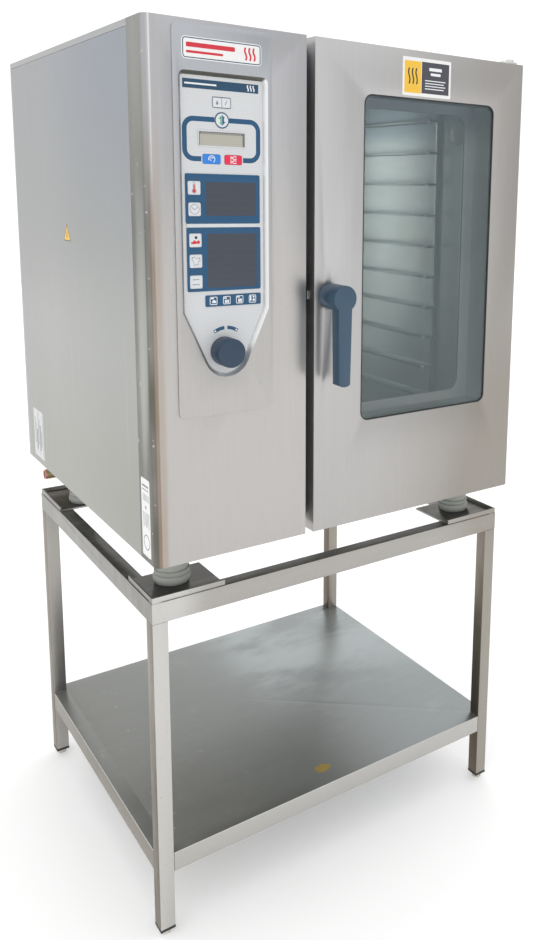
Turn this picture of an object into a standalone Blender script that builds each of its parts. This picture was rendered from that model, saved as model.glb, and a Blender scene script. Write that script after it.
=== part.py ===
"""Combi steamer with ten shelf levels, standing on an open square-tube stand.

Lengths are metres. Positions inside the cabinet are measured from its lower front left
corner: x to the right, y to the back, z up. The function at() turns them into the
model's own frame, whose origin is the middle of the whole object's footprint.
"""
import math

import bmesh
import bpy
from mathutils import Matrix, Vector

# Cabinet
CABINET_WIDTH = 0.847
CABINET_DEPTH = 0.835
CABINET_HEIGHT = 0.940
SHEET = 0.002
GAP = 0.0003
COVER_WRAP_DEPTH = 0.072
COVER_CORNER_RADIUS = 0.015
CONTROL_WIDTH = 0.303
TOP_FLANGE_HEIGHT = 0.012
REAR_WRAP_DEPTH = 0.021

# Feet and stand
FOOT_HEIGHT = 0.077
FOOT_X = (0.072, 0.775)
FOOT_Y = (0.110, 0.640)
STAND_LEFT = 0.002
STAND_RIGHT = 0.845
STAND_FRONT = 0.034
STAND_BACK = 0.754
STAND_HEIGHT = 0.696
TUBE = 0.030
TUBE_WALL = 0.002
TOP_RAIL_HEIGHT = 0.040
SUPPORT_PLATE = 0.003
SHELF_TOP = -0.600
SHELF_SKIRT = 0.040
LEG_BOTTOM = -0.757
LEVELLER_CAP = 0.005

# Door
DOOR_LEFT = 0.321
DOOR_SKIN_DEPTH = 0.066
DOOR_EDGE_RADIUS = 0.010
HINGE_X = 0.822
HINGE_Y = 0.022
HINGE_PIN_RADIUS = 0.005
WINDOW_LEFT = 0.430
WINDOW_RIGHT = 0.761
WINDOW_BOTTOM = 0.210
WINDOW_TOP = 0.849
WINDOW_CORNER = 0.018
INNER_WINDOW_SIDE_INSET = 0.026
INNER_WINDOW_END_INSET = 0.020

# Handle
HANDLE_X = 0.353
HANDLE_Z = 0.468
HANDLE_REACH = 0.060
HANDLE_HUB_RADIUS = 0.0247
LEVER_LENGTH = 0.168
LEVER_DEPTH = 0.024

# Control panel
BEZEL_LEFT = 0.048
BEZEL_RIGHT = 0.230
BEZEL_BOTTOM = 0.266
BEZEL_TOP = 0.933
BEZEL_RAISE = 0.003
PANEL_LEFT = 0.057
PANEL_RIGHT = 0.2235
PANEL_TOP = 0.8585
PANEL_SHOULDER = 0.453
PANEL_BEVEL = 0.0078
PANEL_CORNER = 0.011
FOIL_FRONT = 0.0053
FOIL_THICKNESS = 0.002
KNOB_X = 0.1365
KNOB_Z = 0.3805
KNOB_RADIUS = 0.026
KNOB_FRONT = -0.030
PANEL_ARC_RADIUS = 0.045
PANEL_ARC_X = (PANEL_LEFT + PANEL_RIGHT) / 2
PANEL_ARC_Z = 0.378
KEY_PROUD = 0.0006
KEY_CLEARANCE = 0.00035

# Cavity
CAVITY_LEFT = 0.350
CAVITY_RIGHT = 0.788
CAVITY_BOTTOM = 0.114
CAVITY_TOP = 0.886
CAVITY_BACK = 0.745
LINER_WALL = 0.003
FLANGE_FRONT = 0.0855
FLANGE_BACK = 0.0883
LEVELS = 10
FIRST_LEVEL = 0.183
LEVEL_PITCH = 0.072
BAFFLE_FRONT = 0.100
BAFFLE_BACK = 0.735
BAFFLE_FACE = 0.414
FAN_Y = 0.4175
FAN_Z = 0.500
FAN_RADIUS = 0.140

# The model's frame: origin below the middle of the object's box
FRONT_Y = -(CABINET_DEPTH - HANDLE_REACH) / 2
BASE_Z = FOOT_HEIGHT + STAND_HEIGHT

for old in list(bpy.data.objects):
    bpy.data.objects.remove(old, do_unlink=True)

parts = bpy.data.collections.new("combi_steamer")
cutters = bpy.data.collections.new("cutters")
bpy.context.scene.collection.children.link(parts)
bpy.context.scene.collection.children.link(cutters)


def principled(name, colour, roughness, metallic, alpha=1.0):
    """A material with one Principled shader."""
    material = bpy.data.materials.new(name)
    material.use_nodes = True
    shader = material.node_tree.nodes["Principled BSDF"]
    shader.inputs["Base Color"].default_value = (*colour, 1.0)
    shader.inputs["Roughness"].default_value = roughness
    shader.inputs["Metallic"].default_value = metallic
    shader.inputs["Alpha"].default_value = alpha
    return material


side_steel = principled("side_steel", (0.50, 0.52, 0.52), 0.40, 0.9)
front_steel = principled("front_steel", (0.56, 0.55, 0.53), 0.35, 0.9)
stand_steel = principled("stand_steel", (0.52, 0.51, 0.49), 0.38, 0.9)
shelf_steel = principled("shelf_steel", (0.30, 0.31, 0.30), 0.45, 0.9)
cavity_steel = principled("cavity_steel", (0.45, 0.47, 0.48), 0.35, 0.9)
bright_steel = principled("bright_steel", (0.62, 0.62, 0.61), 0.25, 1.0)
foot_plastic = principled("foot_plastic", (0.25, 0.29, 0.27), 0.55, 0.0)
black_plastic = principled("black_plastic", (0.03, 0.03, 0.03), 0.50, 0.0)
blue_plastic = principled("blue_plastic", (0.045, 0.095, 0.16), 0.40, 0.0)
foil_grey = principled("foil_grey", (0.66, 0.69, 0.71), 0.40, 0.0)
key_grey = principled("key_grey", (0.60, 0.64, 0.68), 0.40, 0.0)
key_blue = principled("key_blue", (0.02, 0.20, 0.65), 0.35, 0.0)
key_red = principled("key_red", (0.68, 0.01, 0.06), 0.35, 0.0)
display_dark = principled("display_dark", (0.06, 0.08, 0.11), 0.20, 0.0)
display_light = principled("display_light", (0.48, 0.46, 0.38), 0.25, 0.0)
glass = principled("glass", (0.30, 0.38, 0.38), 0.05, 0.0, 0.35)
silicone = principled("silicone", (0.02, 0.02, 0.02), 0.60, 0.0)
copper = principled("copper", (0.60, 0.38, 0.18), 0.35, 1.0)
board_green = principled("board_green", (0.02, 0.16, 0.07), 0.45, 0.0)
motor_paint = principled("motor_paint", (0.10, 0.11, 0.12), 0.45, 0.2)


def at(x, y, z):
    """A point given from the cabinet's lower front left corner, in the model's frame."""
    return Vector((x - CABINET_WIDTH / 2, y + FRONT_Y, z + BASE_Z))


def finish(obj, material):
    """Puts a visible solid into the part's collection, or a helper among the cutters."""
    if material is None:
        cutters.objects.link(obj)
        obj.hide_render = True
        obj.display_type = "WIRE"
    else:
        parts.objects.link(obj)
        obj.data.materials.append(material)
    return obj


def box(name, low, high, material=None):
    """A cuboid between two corners."""
    low = at(*low)
    high = at(*high)
    middle = (low + high) / 2
    bm = bmesh.new()
    bmesh.ops.create_cube(bm, size=1.0)
    size = high - low
    bmesh.ops.scale(bm, vec=size, verts=bm.verts)
    mesh = bpy.data.meshes.new(name)
    bm.to_mesh(mesh)
    bm.free()
    obj = bpy.data.objects.new(name, mesh)
    obj.location = middle
    return finish(obj, material)


def rod(name, start, end, radius, material=None, sides=24):
    """A round bar between two points."""
    start = at(*start)
    end = at(*end)
    along = end - start
    bm = bmesh.new()
    bmesh.ops.create_cone(
        bm, cap_ends=True, segments=sides, radius1=radius, radius2=radius, depth=along.length
    )
    mesh = bpy.data.meshes.new(name)
    bm.to_mesh(mesh)
    bm.free()
    mesh.shade_smooth()
    mesh.set_sharp_from_angle(angle=math.radians(40))
    obj = bpy.data.objects.new(name, mesh)
    obj.location = (start + end) / 2
    obj.rotation_mode = "QUATERNION"
    obj.rotation_quaternion = along.to_track_quat("Z", "Y")
    return finish(obj, material)


def turned(name, profile, centre, direction, material=None, steps=32):
    """A turned solid: profile is (radius, height) from the top down, about direction."""
    mesh = bpy.data.meshes.new(name)
    bm = bmesh.new()
    ring = [bm.verts.new((radius, 0.0, height)) for radius, height in profile]
    for first, second in zip(ring, ring[1:]):
        bm.edges.new((first, second))
    bm.to_mesh(mesh)
    bm.free()
    obj = bpy.data.objects.new(name, mesh)
    obj.location = at(*centre)
    obj.rotation_mode = "QUATERNION"
    obj.rotation_quaternion = Vector(direction).to_track_quat("Z", "Y")
    screw = obj.modifiers.new("turn", "SCREW")
    screw.angle = 2 * math.pi
    screw.steps = steps
    screw.render_steps = steps
    screw.use_merge_vertices = True
    screw.merge_threshold = 0.00001
    screw.use_smooth_shade = True
    return finish(obj, material)


def outline(name, points, start, thickness, across, material=None):
    """A flat outline given a thickness. across is 'Y' for (x, z) points, 'Z' for (x, y)."""
    curve = bpy.data.curves.new(name, "CURVE")
    curve.dimensions = "2D"
    curve.fill_mode = "BOTH"
    curve.extrude = thickness / 2
    spline = curve.splines.new("POLY")
    spline.points.add(len(points) - 1)
    for point, place in zip(spline.points, points):
        point.co = (place[0], place[1], 0.0, 1.0)
    spline.use_cyclic_u = True
    drawn = bpy.data.objects.new(name + "_drawn", curve)
    cutters.objects.link(drawn)
    if across == "Y":
        drawn.location = at(0.0, start + thickness / 2, 0.0)
        drawn.rotation_euler = (math.pi / 2, 0.0, 0.0)
    else:
        drawn.location = at(0.0, 0.0, start + thickness / 2)
    bpy.context.view_layer.update()
    graph = bpy.context.evaluated_depsgraph_get()
    mesh = bpy.data.meshes.new_from_object(drawn.evaluated_get(graph))
    bm = bmesh.new()
    bm.from_mesh(mesh)
    bmesh.ops.remove_doubles(bm, verts=bm.verts, dist=0.00001)
    bmesh.ops.recalc_face_normals(bm, faces=bm.faces)
    bm.to_mesh(mesh)
    bm.free()
    obj = bpy.data.objects.new(name, mesh)
    obj.matrix_world = drawn.matrix_world.copy()
    bpy.data.objects.remove(drawn, do_unlink=True)
    return finish(obj, material)


def combine(target, tool, operation):
    """Cuts tool from target, or joins it on."""
    change = target.modifiers.new(tool.name, "BOOLEAN")
    change.operation = operation
    change.solver = "EXACT"
    change.object = tool


def cut(target, *tools):
    for tool in tools:
        combine(target, tool, "DIFFERENCE")


def join(target, *tools):
    for tool in tools:
        combine(target, tool, "UNION")


def arc(centre, radius, first, last, steps):
    """Points on an arc, angles in degrees."""
    points = []
    for step in range(steps + 1):
        angle = math.radians(first + (last - first) * step / steps)
        points.append((centre[0] + radius * math.cos(angle), centre[1] + radius * math.sin(angle)))
    return points


def rounded_rectangle(left, right, bottom, top, radius, steps=4):
    points = arc((right - radius, top - radius), radius, 0, 90, steps)
    points += arc((left + radius, top - radius), radius, 90, 180, steps)
    points += arc((left + radius, bottom + radius), radius, 180, 270, steps)
    points += arc((right - radius, bottom + radius), radius, 270, 360, steps)
    return points


def pivot(name, point):
    """An empty on a joint's axis."""
    empty = bpy.data.objects.new(name, None)
    parts.objects.link(empty)
    empty.location = point
    bpy.context.view_layer.update()
    return empty


def hang_on(parent, *children):
    """Parents pieces without moving them."""
    bpy.context.view_layer.update()
    for child in children:
        child.parent = parent
        child.matrix_parent_inverse = parent.matrix_world.inverted()


# ---------------------------------------------------------------- stand
RAIL_TOP = -FOOT_HEIGHT - SUPPORT_PLATE
RAIL_BOTTOM = RAIL_TOP - TOP_RAIL_HEIGHT

top_frame = box(
    "stand_top_frame",
    (STAND_LEFT, STAND_FRONT, RAIL_BOTTOM),
    (STAND_RIGHT, STAND_BACK, RAIL_TOP),
    stand_steel,
)
cut(top_frame, box(
    "top_frame_middle",
    (STAND_LEFT + TUBE, STAND_FRONT + TUBE, RAIL_BOTTOM - 0.01),
    (STAND_RIGHT - TUBE, STAND_BACK - TUBE, RAIL_TOP + 0.01),
))

LEG_CORNERS = {
    "front_left": (STAND_LEFT, STAND_FRONT),
    "front_right": (STAND_RIGHT - TUBE, STAND_FRONT),
    "back_left": (STAND_LEFT, STAND_BACK - TUBE),
    "back_right": (STAND_RIGHT - TUBE, STAND_BACK - TUBE),
}
SUPPORT_WIDTH = 0.144
SUPPORT_DEPTH = {"front": 0.120, "back": 0.153}
LIP_HEIGHT = 0.008
LIP_INSET = 0.001

for corner, (leg_x, leg_y) in LEG_CORNERS.items():
    end, side = corner.split("_")
    depth = SUPPORT_DEPTH[end]
    plate_x = STAND_LEFT + LIP_INSET if side == "left" else STAND_RIGHT - LIP_INSET - SUPPORT_WIDTH
    plate_y = STAND_FRONT + LIP_INSET if end == "front" else STAND_BACK - LIP_INSET - depth
    join(top_frame, box(
        "support_plate_" + corner,
        (plate_x, plate_y, RAIL_TOP - 0.001),
        (plate_x + SUPPORT_WIDTH, plate_y + depth, RAIL_TOP + SUPPORT_PLATE),
    ))
    lip_x = plate_x if side == "left" else plate_x + SUPPORT_WIDTH - SUPPORT_PLATE
    lip_y = plate_y if end == "front" else plate_y + depth - SUPPORT_PLATE
    join(top_frame, box(
        "support_side_lip_" + corner,
        (lip_x, plate_y, RAIL_TOP + 0.001),
        (lip_x + SUPPORT_PLATE, plate_y + depth, RAIL_TOP + SUPPORT_PLATE + LIP_HEIGHT),
    ))
    join(top_frame, box(
        "support_end_lip_" + corner,
        (plate_x, lip_y, RAIL_TOP + 0.001),
        (plate_x + SUPPORT_WIDTH, lip_y + SUPPORT_PLATE, RAIL_TOP + SUPPORT_PLATE + LIP_HEIGHT),
    ))
    seam_reach = 0.018
    seam_depth = 0.0022
    seam_x = (plate_x + (seam_reach if side == "left" else 0.0),
              plate_x + SUPPORT_WIDTH - (0.0 if side == "left" else seam_reach))
    seam_y = STAND_FRONT - 0.01 if end == "front" else STAND_BACK - seam_depth
    cut(top_frame, box(
        "support_end_seam_" + corner,
        (seam_x[0], seam_y, RAIL_TOP - 0.0004),
        (seam_x[1], seam_y + 0.01 + (seam_depth if end == "front" else 0.0), RAIL_TOP + 0.0014),
    ))
    side_x = STAND_LEFT - 0.01 if side == "left" else STAND_RIGHT - seam_depth
    seam_ends = (plate_y + (seam_reach if end == "front" else 0.0),
                 plate_y + depth - (0.0 if end == "front" else seam_reach))
    cut(top_frame, box(
        "support_side_seam_" + corner,
        (side_x, seam_ends[0], RAIL_TOP - 0.0004),
        (side_x + 0.01 + (seam_depth if side == "left" else 0.0), seam_ends[1], RAIL_TOP + 0.0014),
    ))
    leg = box(
        "stand_leg_" + corner,
        (leg_x, leg_y, LEG_BOTTOM),
        (leg_x + TUBE, leg_y + TUBE, RAIL_BOTTOM - GAP),
        stand_steel,
    )
    cut(leg, box(
        "leg_bore_" + corner,
        (leg_x + TUBE_WALL, leg_y + TUBE_WALL, LEG_BOTTOM - 0.01),
        (leg_x + TUBE - TUBE_WALL, leg_y + TUBE - TUBE_WALL, RAIL_BOTTOM - 0.005),
    ))
    leveller = box(
        "stand_leveller_" + corner,
        (leg_x, leg_y, LEG_BOTTOM - GAP - LEVELLER_CAP),
        (leg_x + TUBE, leg_y + TUBE, LEG_BOTTOM - GAP),
        black_plastic,
    )
    join(leveller, box(
        "leveller_plug_" + corner,
        (leg_x + TUBE_WALL + GAP, leg_y + TUBE_WALL + GAP, LEG_BOTTOM - 0.002),
        (leg_x + TUBE - TUBE_WALL - GAP, leg_y + TUBE - TUBE_WALL - GAP, LEG_BOTTOM + 0.020),
    ))
    join(leveller, rod(
        "leveller_screw_foot_" + corner,
        (leg_x + TUBE / 2, leg_y + TUBE / 2, -BASE_Z),
        (leg_x + TUBE / 2, leg_y + TUBE / 2, LEG_BOTTOM - 0.002),
        0.011,
        sides=20,
    ))

shelf = box(
    "stand_shelf",
    (STAND_LEFT, STAND_FRONT, SHELF_TOP - SHELF_SKIRT),
    (STAND_RIGHT, STAND_BACK, SHELF_TOP),
    shelf_steel,
)
cut(shelf, box(
    "shelf_underside",
    (STAND_LEFT + SHEET, STAND_FRONT + SHEET, SHELF_TOP - SHELF_SKIRT - 0.01),
    (STAND_RIGHT - SHEET, STAND_BACK - SHEET, SHELF_TOP - SHEET),
))
for corner, (leg_x, leg_y) in LEG_CORNERS.items():
    cut(shelf, box(
        "shelf_notch_" + corner,
        (leg_x - GAP if leg_x > 0.1 else leg_x - 0.01, leg_y - GAP if leg_y > 0.1 else leg_y - 0.01,
         SHELF_TOP - SHELF_SKIRT - 0.01),
        (leg_x + TUBE + (GAP if leg_x < 0.1 else 0.01), leg_y + TUBE + (GAP if leg_y < 0.1 else 0.01),
         SHELF_TOP + 0.01),
    ))

# ---------------------------------------------------------------- cabinet feet
FOOT_PROFILE = (
    (0.0, -GAP),
    (0.0315, -GAP),
    (0.0315, -0.046),
    (0.0295, -0.047),
    (0.0295, -0.050),
    (0.0335, -0.051),
    (0.0335, -0.058),
    (0.0315, -0.0595),
    (0.0345, -0.061),
    (0.0360, -0.066),
    (0.0360, -0.071),
    (0.0325, -FOOT_HEIGHT + GAP),
    (0.0, -FOOT_HEIGHT + GAP),
)
for end, foot_y in zip(("front", "back"), FOOT_Y):
    for side, foot_x in zip(("left", "right"), FOOT_X):
        turned(
            "oven_foot_" + end + "_" + side, FOOT_PROFILE, (foot_x, foot_y, 0.0), (0, 0, 1),
            foot_plastic, steps=28,
        )

# ---------------------------------------------------------------- cabinet panels
COVER_TOP = CABINET_HEIGHT - TOP_FLANGE_HEIGHT
PANEL_START = COVER_WRAP_DEPTH + GAP
PANEL_END = CABINET_DEPTH - REAR_WRAP_DEPTH - GAP

base_pan = box(
    "base_pan",
    (SHEET + GAP, PANEL_START, 0.0),
    (CABINET_WIDTH - SHEET - GAP, CABINET_DEPTH - SHEET - GAP, 0.012),
    side_steel,
)
cut(base_pan, box(
    "base_pan_inside",
    (2 * SHEET + GAP, PANEL_START + SHEET, SHEET),
    (CABINET_WIDTH - 2 * SHEET - GAP, CABINET_DEPTH - 2 * SHEET - GAP, 0.020),
))
box("left_side_panel", (0.0, PANEL_START, 0.0), (SHEET, PANEL_END, COVER_TOP - GAP), side_steel)
box(
    "right_side_panel",
    (CABINET_WIDTH - SHEET, 0.0663, 0.0),
    (CABINET_WIDTH, PANEL_END, COVER_TOP - GAP),
    side_steel,
)
rear_panel = box(
    "rear_panel",
    (0.0, CABINET_DEPTH - REAR_WRAP_DEPTH, 0.0),
    (CABINET_WIDTH, CABINET_DEPTH, COVER_TOP - GAP),
    side_steel,
)
cut(rear_panel, box(
    "rear_panel_inside",
    (SHEET, CABINET_DEPTH - REAR_WRAP_DEPTH - 0.01, -0.01),
    (CABINET_WIDTH - SHEET, CABINET_DEPTH - SHEET, CABINET_HEIGHT),
))
top_cover = box(
    "top_cover", (0.0, PANEL_START, COVER_TOP), (CABINET_WIDTH, CABINET_DEPTH, CABINET_HEIGHT), side_steel
)
cut(top_cover, box(
    "top_cover_inside",
    (SHEET, PANEL_START - 0.01, COVER_TOP - 0.01),
    (CABINET_WIDTH - SHEET, CABINET_DEPTH - SHEET, CABINET_HEIGHT - SHEET),
))

# ---------------------------------------------------------------- control compartment


def cover_plan(inset, depth):
    """The front cover seen from above, with its rounded outer corner."""
    radius = COVER_CORNER_RADIUS - inset
    centre = (COVER_CORNER_RADIUS, COVER_CORNER_RADIUS)
    points = [(CONTROL_WIDTH - inset, depth), (inset, depth)]
    points += arc(centre, radius, 180, 270, 6)
    points.append((CONTROL_WIDTH - inset, inset))
    return points


def panel_outline(inset):
    """The recess of the control panel: round top corners, sides that close to the knob's arc."""
    radius = PANEL_ARC_RADIUS - inset
    corner = PANEL_CORNER - inset
    corner_z = PANEL_TOP - PANEL_CORNER
    points = [(PANEL_LEFT + inset, PANEL_SHOULDER)]
    points += arc((PANEL_LEFT + PANEL_CORNER, corner_z), corner, 180, 90, 4)
    points += arc((PANEL_RIGHT - PANEL_CORNER, corner_z), corner, 90, 0, 4)
    points.append((PANEL_RIGHT - inset, PANEL_SHOULDER))
    points += arc((PANEL_ARC_X, PANEL_ARC_Z), radius, -27, -153, 12)
    return points


front_cover = outline(
    "front_cover", cover_plan(0.0, COVER_WRAP_DEPTH), 0.0, CABINET_HEIGHT, "Z", front_steel
)
cut(front_cover, outline(
    "front_cover_inside", cover_plan(SHEET, COVER_WRAP_DEPTH + 0.01), SHEET,
    CABINET_HEIGHT - 2 * SHEET, "Z",
))
cut(front_cover, outline("panel_hole", panel_outline(-0.0025), -0.01, 0.02, "Y"))

bezel = outline(
    "control_bezel",
    rounded_rectangle(BEZEL_LEFT, BEZEL_RIGHT, BEZEL_BOTTOM, BEZEL_TOP, 0.011),
    -BEZEL_RAISE, BEZEL_RAISE - GAP, "Y", front_steel,
)
join(bezel, outline("bezel_collar", panel_outline(-0.002), -0.0020, 0.0070, "Y"))


def tapered_opening(name, front, front_y, back, back_y):
    """A solid that narrows from one outline to another with as many points."""
    bm = bmesh.new()
    near = [bm.verts.new(at(x, front_y, z)) for x, z in front]
    far = [bm.verts.new(at(x, back_y, z)) for x, z in back]
    bm.faces.new(near)
    bm.faces.new(far)
    bmesh.ops.bridge_loops(bm, edges=bm.edges[:])
    bmesh.ops.recalc_face_normals(bm, faces=bm.faces)
    mesh = bpy.data.meshes.new(name)
    bm.to_mesh(mesh)
    bm.free()
    return finish(bpy.data.objects.new(name, mesh), None)


cut(bezel, tapered_opening(
    "bezel_opening",
    panel_outline(0.0), -BEZEL_RAISE - 0.001,
    panel_outline(PANEL_BEVEL), 0.006,
))

foil = outline(
    "keypad_foil", panel_outline(0.001), FOIL_FRONT, FOIL_THICKNESS, "Y", foil_grey
)
cut(foil, rod(
    "knob_shaft_hole", (KNOB_X, -0.01, KNOB_Z), (KNOB_X, 0.02, KNOB_Z), 0.0055, sides=20
))

KEYS = {
    "key_twin": (0.1210, 0.1555, 0.801, 0.819, key_grey),
    "key_moist": (0.1020, 0.1350, 0.707, 0.723, key_blue),
    "key_hot_air": (0.1425, 0.1755, 0.707, 0.723, key_red),
    "key_temperature": (0.0740, 0.0970, 0.6545, 0.6775, key_grey),
    "key_time": (0.0745, 0.0970, 0.6185, 0.6415, key_grey),
    "key_core_probe": (0.0750, 0.0975, 0.5655, 0.5890, key_grey),
    "key_programme": (0.0750, 0.0980, 0.5300, 0.5530, key_grey),
    "key_start": (0.0750, 0.0980, 0.4940, 0.5170, key_grey),
    "key_small_1": (0.1105, 0.1255, 0.4635, 0.4785, key_blue),
    "key_small_2": (0.1358, 0.1508, 0.4635, 0.4785, key_blue),
    "key_small_3": (0.1608, 0.1758, 0.4635, 0.4785, key_blue),
    "key_small_4": (0.1862, 0.2012, 0.4635, 0.4785, key_blue),
}
KEY_FRONT = FOIL_FRONT - KEY_PROUD
KEY_BACK = FOIL_FRONT + 0.0014
for name, (left, right, bottom, top, material) in KEYS.items():
    outline(
        name, rounded_rectangle(left, right, bottom, top, 0.0025, 2), KEY_FRONT,
        KEY_BACK - KEY_FRONT, "Y", material,
    )
    room = KEY_CLEARANCE
    cut(foil, outline(
        name + "_hole",
        rounded_rectangle(left - room, right + room, bottom - room, top + room, 0.0028, 2),
        FOIL_FRONT - 0.005, 0.015, "Y",
    ))
POWER_X = 0.1384
POWER_Z = 0.7808
rod(
    "key_power", (POWER_X, KEY_FRONT, POWER_Z), (POWER_X, KEY_BACK, POWER_Z), 0.0135, key_grey, 28
)
cut(foil, rod(
    "key_power_hole", (POWER_X, -0.01, POWER_Z), (POWER_X, 0.02, POWER_Z),
    0.0135 + KEY_CLEARANCE, sides=28,
))

WINDOW_BACK = FOIL_FRONT - GAP
for name, left, right, bottom, top, material in (
    ("lcd_display", 0.0950, 0.1815, 0.7368, 0.7614, display_light),
    ("display_pane", 0.1060, 0.2028, 0.4935, 0.6772, display_dark),
):
    outline(
        name, rounded_rectangle(left, right, bottom, top, 0.003, 2), WINDOW_BACK - 0.0008,
        0.0008, "Y", material,
    )

turned(
    "selector_knob",
    (
        (0.0, -KNOB_FRONT),
        (KNOB_RADIUS - 0.0015, -KNOB_FRONT),
        (KNOB_RADIUS, -KNOB_FRONT - 0.0015),
        (KNOB_RADIUS, -FOIL_FRONT + 2 * GAP),
        (0.004, -FOIL_FRONT + 2 * GAP),
        (0.004, -0.013),
        (0.0, -0.013),
    ),
    (KNOB_X, 0.0, KNOB_Z), (0, -1, 0), blue_plastic, steps=40,
)

board = box("control_board", (0.068, 0.0160, 0.460), (0.213, 0.0180, 0.843), board_green)
for stand_off_x in (0.068, 0.206):
    for stand_off_z in (0.600, 0.836):
        join(board, box(
            "board_post_%d_%d" % (stand_off_x * 1000, stand_off_z * 1000),
            (stand_off_x, FOIL_FRONT + FOIL_THICKNESS + GAP, stand_off_z),
            (stand_off_x + 0.006, 0.0165, stand_off_z + 0.006),
        ))

# ---------------------------------------------------------------- cavity
liner = box(
    "cavity_liner", (0.3065, FLANGE_FRONT, 0.0125), (0.8445, FLANGE_BACK, 0.9375), cavity_steel
)
join(liner, box(
    "liner_walls",
    (CAVITY_LEFT - LINER_WALL, FLANGE_FRONT + 0.001, CAVITY_BOTTOM - LINER_WALL),
    (CAVITY_RIGHT + LINER_WALL, CAVITY_BACK + LINER_WALL, CAVITY_TOP + LINER_WALL),
))
cut(liner, box(
    "liner_inside",
    (CAVITY_LEFT, FLANGE_FRONT - 0.01, CAVITY_BOTTOM),
    (CAVITY_RIGHT, CAVITY_BACK, CAVITY_TOP),
))
cut(liner, rod(
    "shaft_hole", (CAVITY_LEFT - 0.01, FAN_Y, FAN_Z), (CAVITY_LEFT + 0.01, FAN_Y, FAN_Z), 0.012
))

baffle = box(
    "air_baffle",
    (BAFFLE_FACE - 0.014, BAFFLE_FRONT, 0.130),
    (BAFFLE_FACE, BAFFLE_BACK, 0.870),
    cavity_steel,
)
cut(baffle, box(
    "baffle_inside",
    (BAFFLE_FACE - 0.020, BAFFLE_FRONT + SHEET, 0.130 + SHEET),
    (BAFFLE_FACE - SHEET, BAFFLE_BACK - SHEET, 0.870 - SHEET),
))
cut(baffle, rod(
    "baffle_intake", (BAFFLE_FACE - 0.01, FAN_Y, FAN_Z), (BAFFLE_FACE + 0.01, FAN_Y, FAN_Z), 0.115,
    sides=40,
))


def rack(name, post_x, rail_low, rail_high, first_y, last_y, post_ys):
    """A hanging rack: two upright posts and one rail for each level."""
    post = 0.008
    frame = box(
        name, (post_x, post_ys[0], 0.150), (post_x + post, post_ys[0] + post, 0.860), bright_steel
    )
    for level in range(LEVELS):
        height = FIRST_LEVEL + level * LEVEL_PITCH
        join(frame, box(
            "%s_rail_%d" % (name, level),
            (rail_low, first_y, height - 0.005),
            (rail_high, last_y, height),
        ))
    join(frame, box(
        name + "_back_post", (post_x, post_ys[1], 0.150), (post_x + post, post_ys[1] + post, 0.860)
    ))
    return frame


RAIL_DEPTH = 0.032
RACK_POSTS = (0.207, 0.640)
rack_left = rack(
    "rack_left", BAFFLE_FACE + GAP, BAFFLE_FACE + 0.002, BAFFLE_FACE + RAIL_DEPTH, 0.120, 0.700,
    RACK_POSTS,
)
rack(
    "rack_right", CAVITY_RIGHT - 0.0105, CAVITY_RIGHT - 0.006 - RAIL_DEPTH, CAVITY_RIGHT - 0.004,
    0.200, 0.700, RACK_POSTS,
)

fan = turned(
    "fan_wheel",
    (
        (0.0, 0.044),
        (0.016, 0.044),
        (0.018, 0.040),
        (0.018, 0.008),
        (FAN_RADIUS, 0.008),
        (FAN_RADIUS, 0.006),
        (0.009, 0.006),
        (0.009, -0.0012),
        (0.0, -0.0012),
    ),
    (0.348, FAN_Y, FAN_Z), (1, 0, 0), cavity_steel, steps=40,
)
BLADES = 10
for blade in range(BLADES):
    turn = 2 * math.pi * blade / BLADES
    vane = box("fan_vane_%d" % blade, (0.3550, FAN_Y + 0.085, FAN_Z - 0.001),
               (0.3940, FAN_Y + FAN_RADIUS - 0.001, FAN_Z + 0.001))
    centre = at(0.348, FAN_Y, FAN_Z)
    spin = Matrix.Translation(centre) @ Matrix.Rotation(turn, 4, "X") @ Matrix.Translation(-centre)
    bpy.context.view_layer.update()
    vane.matrix_world = spin @ vane.matrix_world
    join(fan, vane)

turned(
    "fan_motor",
    (
        (0.0, 0.0),
        (0.040, 0.0),
        (0.040, -0.008),
        (0.060, -0.012),
        (0.060, -0.105),
        (0.050, -0.115),
        (0.0, -0.115),
    ),
    (CAVITY_LEFT - LINER_WALL - 2 * GAP, FAN_Y, FAN_Z), (1, 0, 0), motor_paint, steps=32,
)

HEATER_RADIUS = 0.170
HEATER_X = 0.375
heater_mesh = bpy.data.meshes.new("heater_ring")
bm = bmesh.new()
bmesh.ops.create_circle(bm, segments=8, radius=0.005)
bmesh.ops.translate(bm, verts=bm.verts, vec=(HEATER_RADIUS, 0.0, 0.0))
bmesh.ops.rotate(bm, verts=bm.verts, cent=(HEATER_RADIUS, 0.0, 0.0), matrix=Matrix.Rotation(math.pi / 2, 3, "X"))
bm.to_mesh(heater_mesh)
bm.free()
heater = bpy.data.objects.new("heater_ring", heater_mesh)
heater.location = at(HEATER_X, FAN_Y, FAN_Z)
heater.rotation_euler = (0.0, math.pi / 2, 0.0)
heater_turn = heater.modifiers.new("turn", "SCREW")
heater_turn.angle = 2 * math.pi
heater_turn.steps = 40
heater_turn.render_steps = 40
heater_turn.use_merge_vertices = True
heater_turn.merge_threshold = 0.00001
heater_turn.use_smooth_shade = True
finish(heater, bright_steel)
for place, offset in (("low", -0.030), ("high", 0.030)):
    join(heater, rod(
        "heater_terminal_" + place,
        (CAVITY_LEFT + GAP, FAN_Y + offset, FAN_Z - math.sqrt(HEATER_RADIUS**2 - offset**2)),
        (HEATER_X, FAN_Y + offset, FAN_Z - math.sqrt(HEATER_RADIUS**2 - offset**2)),
        0.0042, sides=10,
    ))

generator = box(
    "steam_generator", (0.050, 0.500, SHEET + GAP), (0.190, 0.720, 0.300), cavity_steel
)
generator_edge = generator.modifiers.new("edges", "BEVEL")
generator_edge.width = 0.010
generator_edge.segments = 2
generator_edge.limit_method = "ANGLE"

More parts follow.
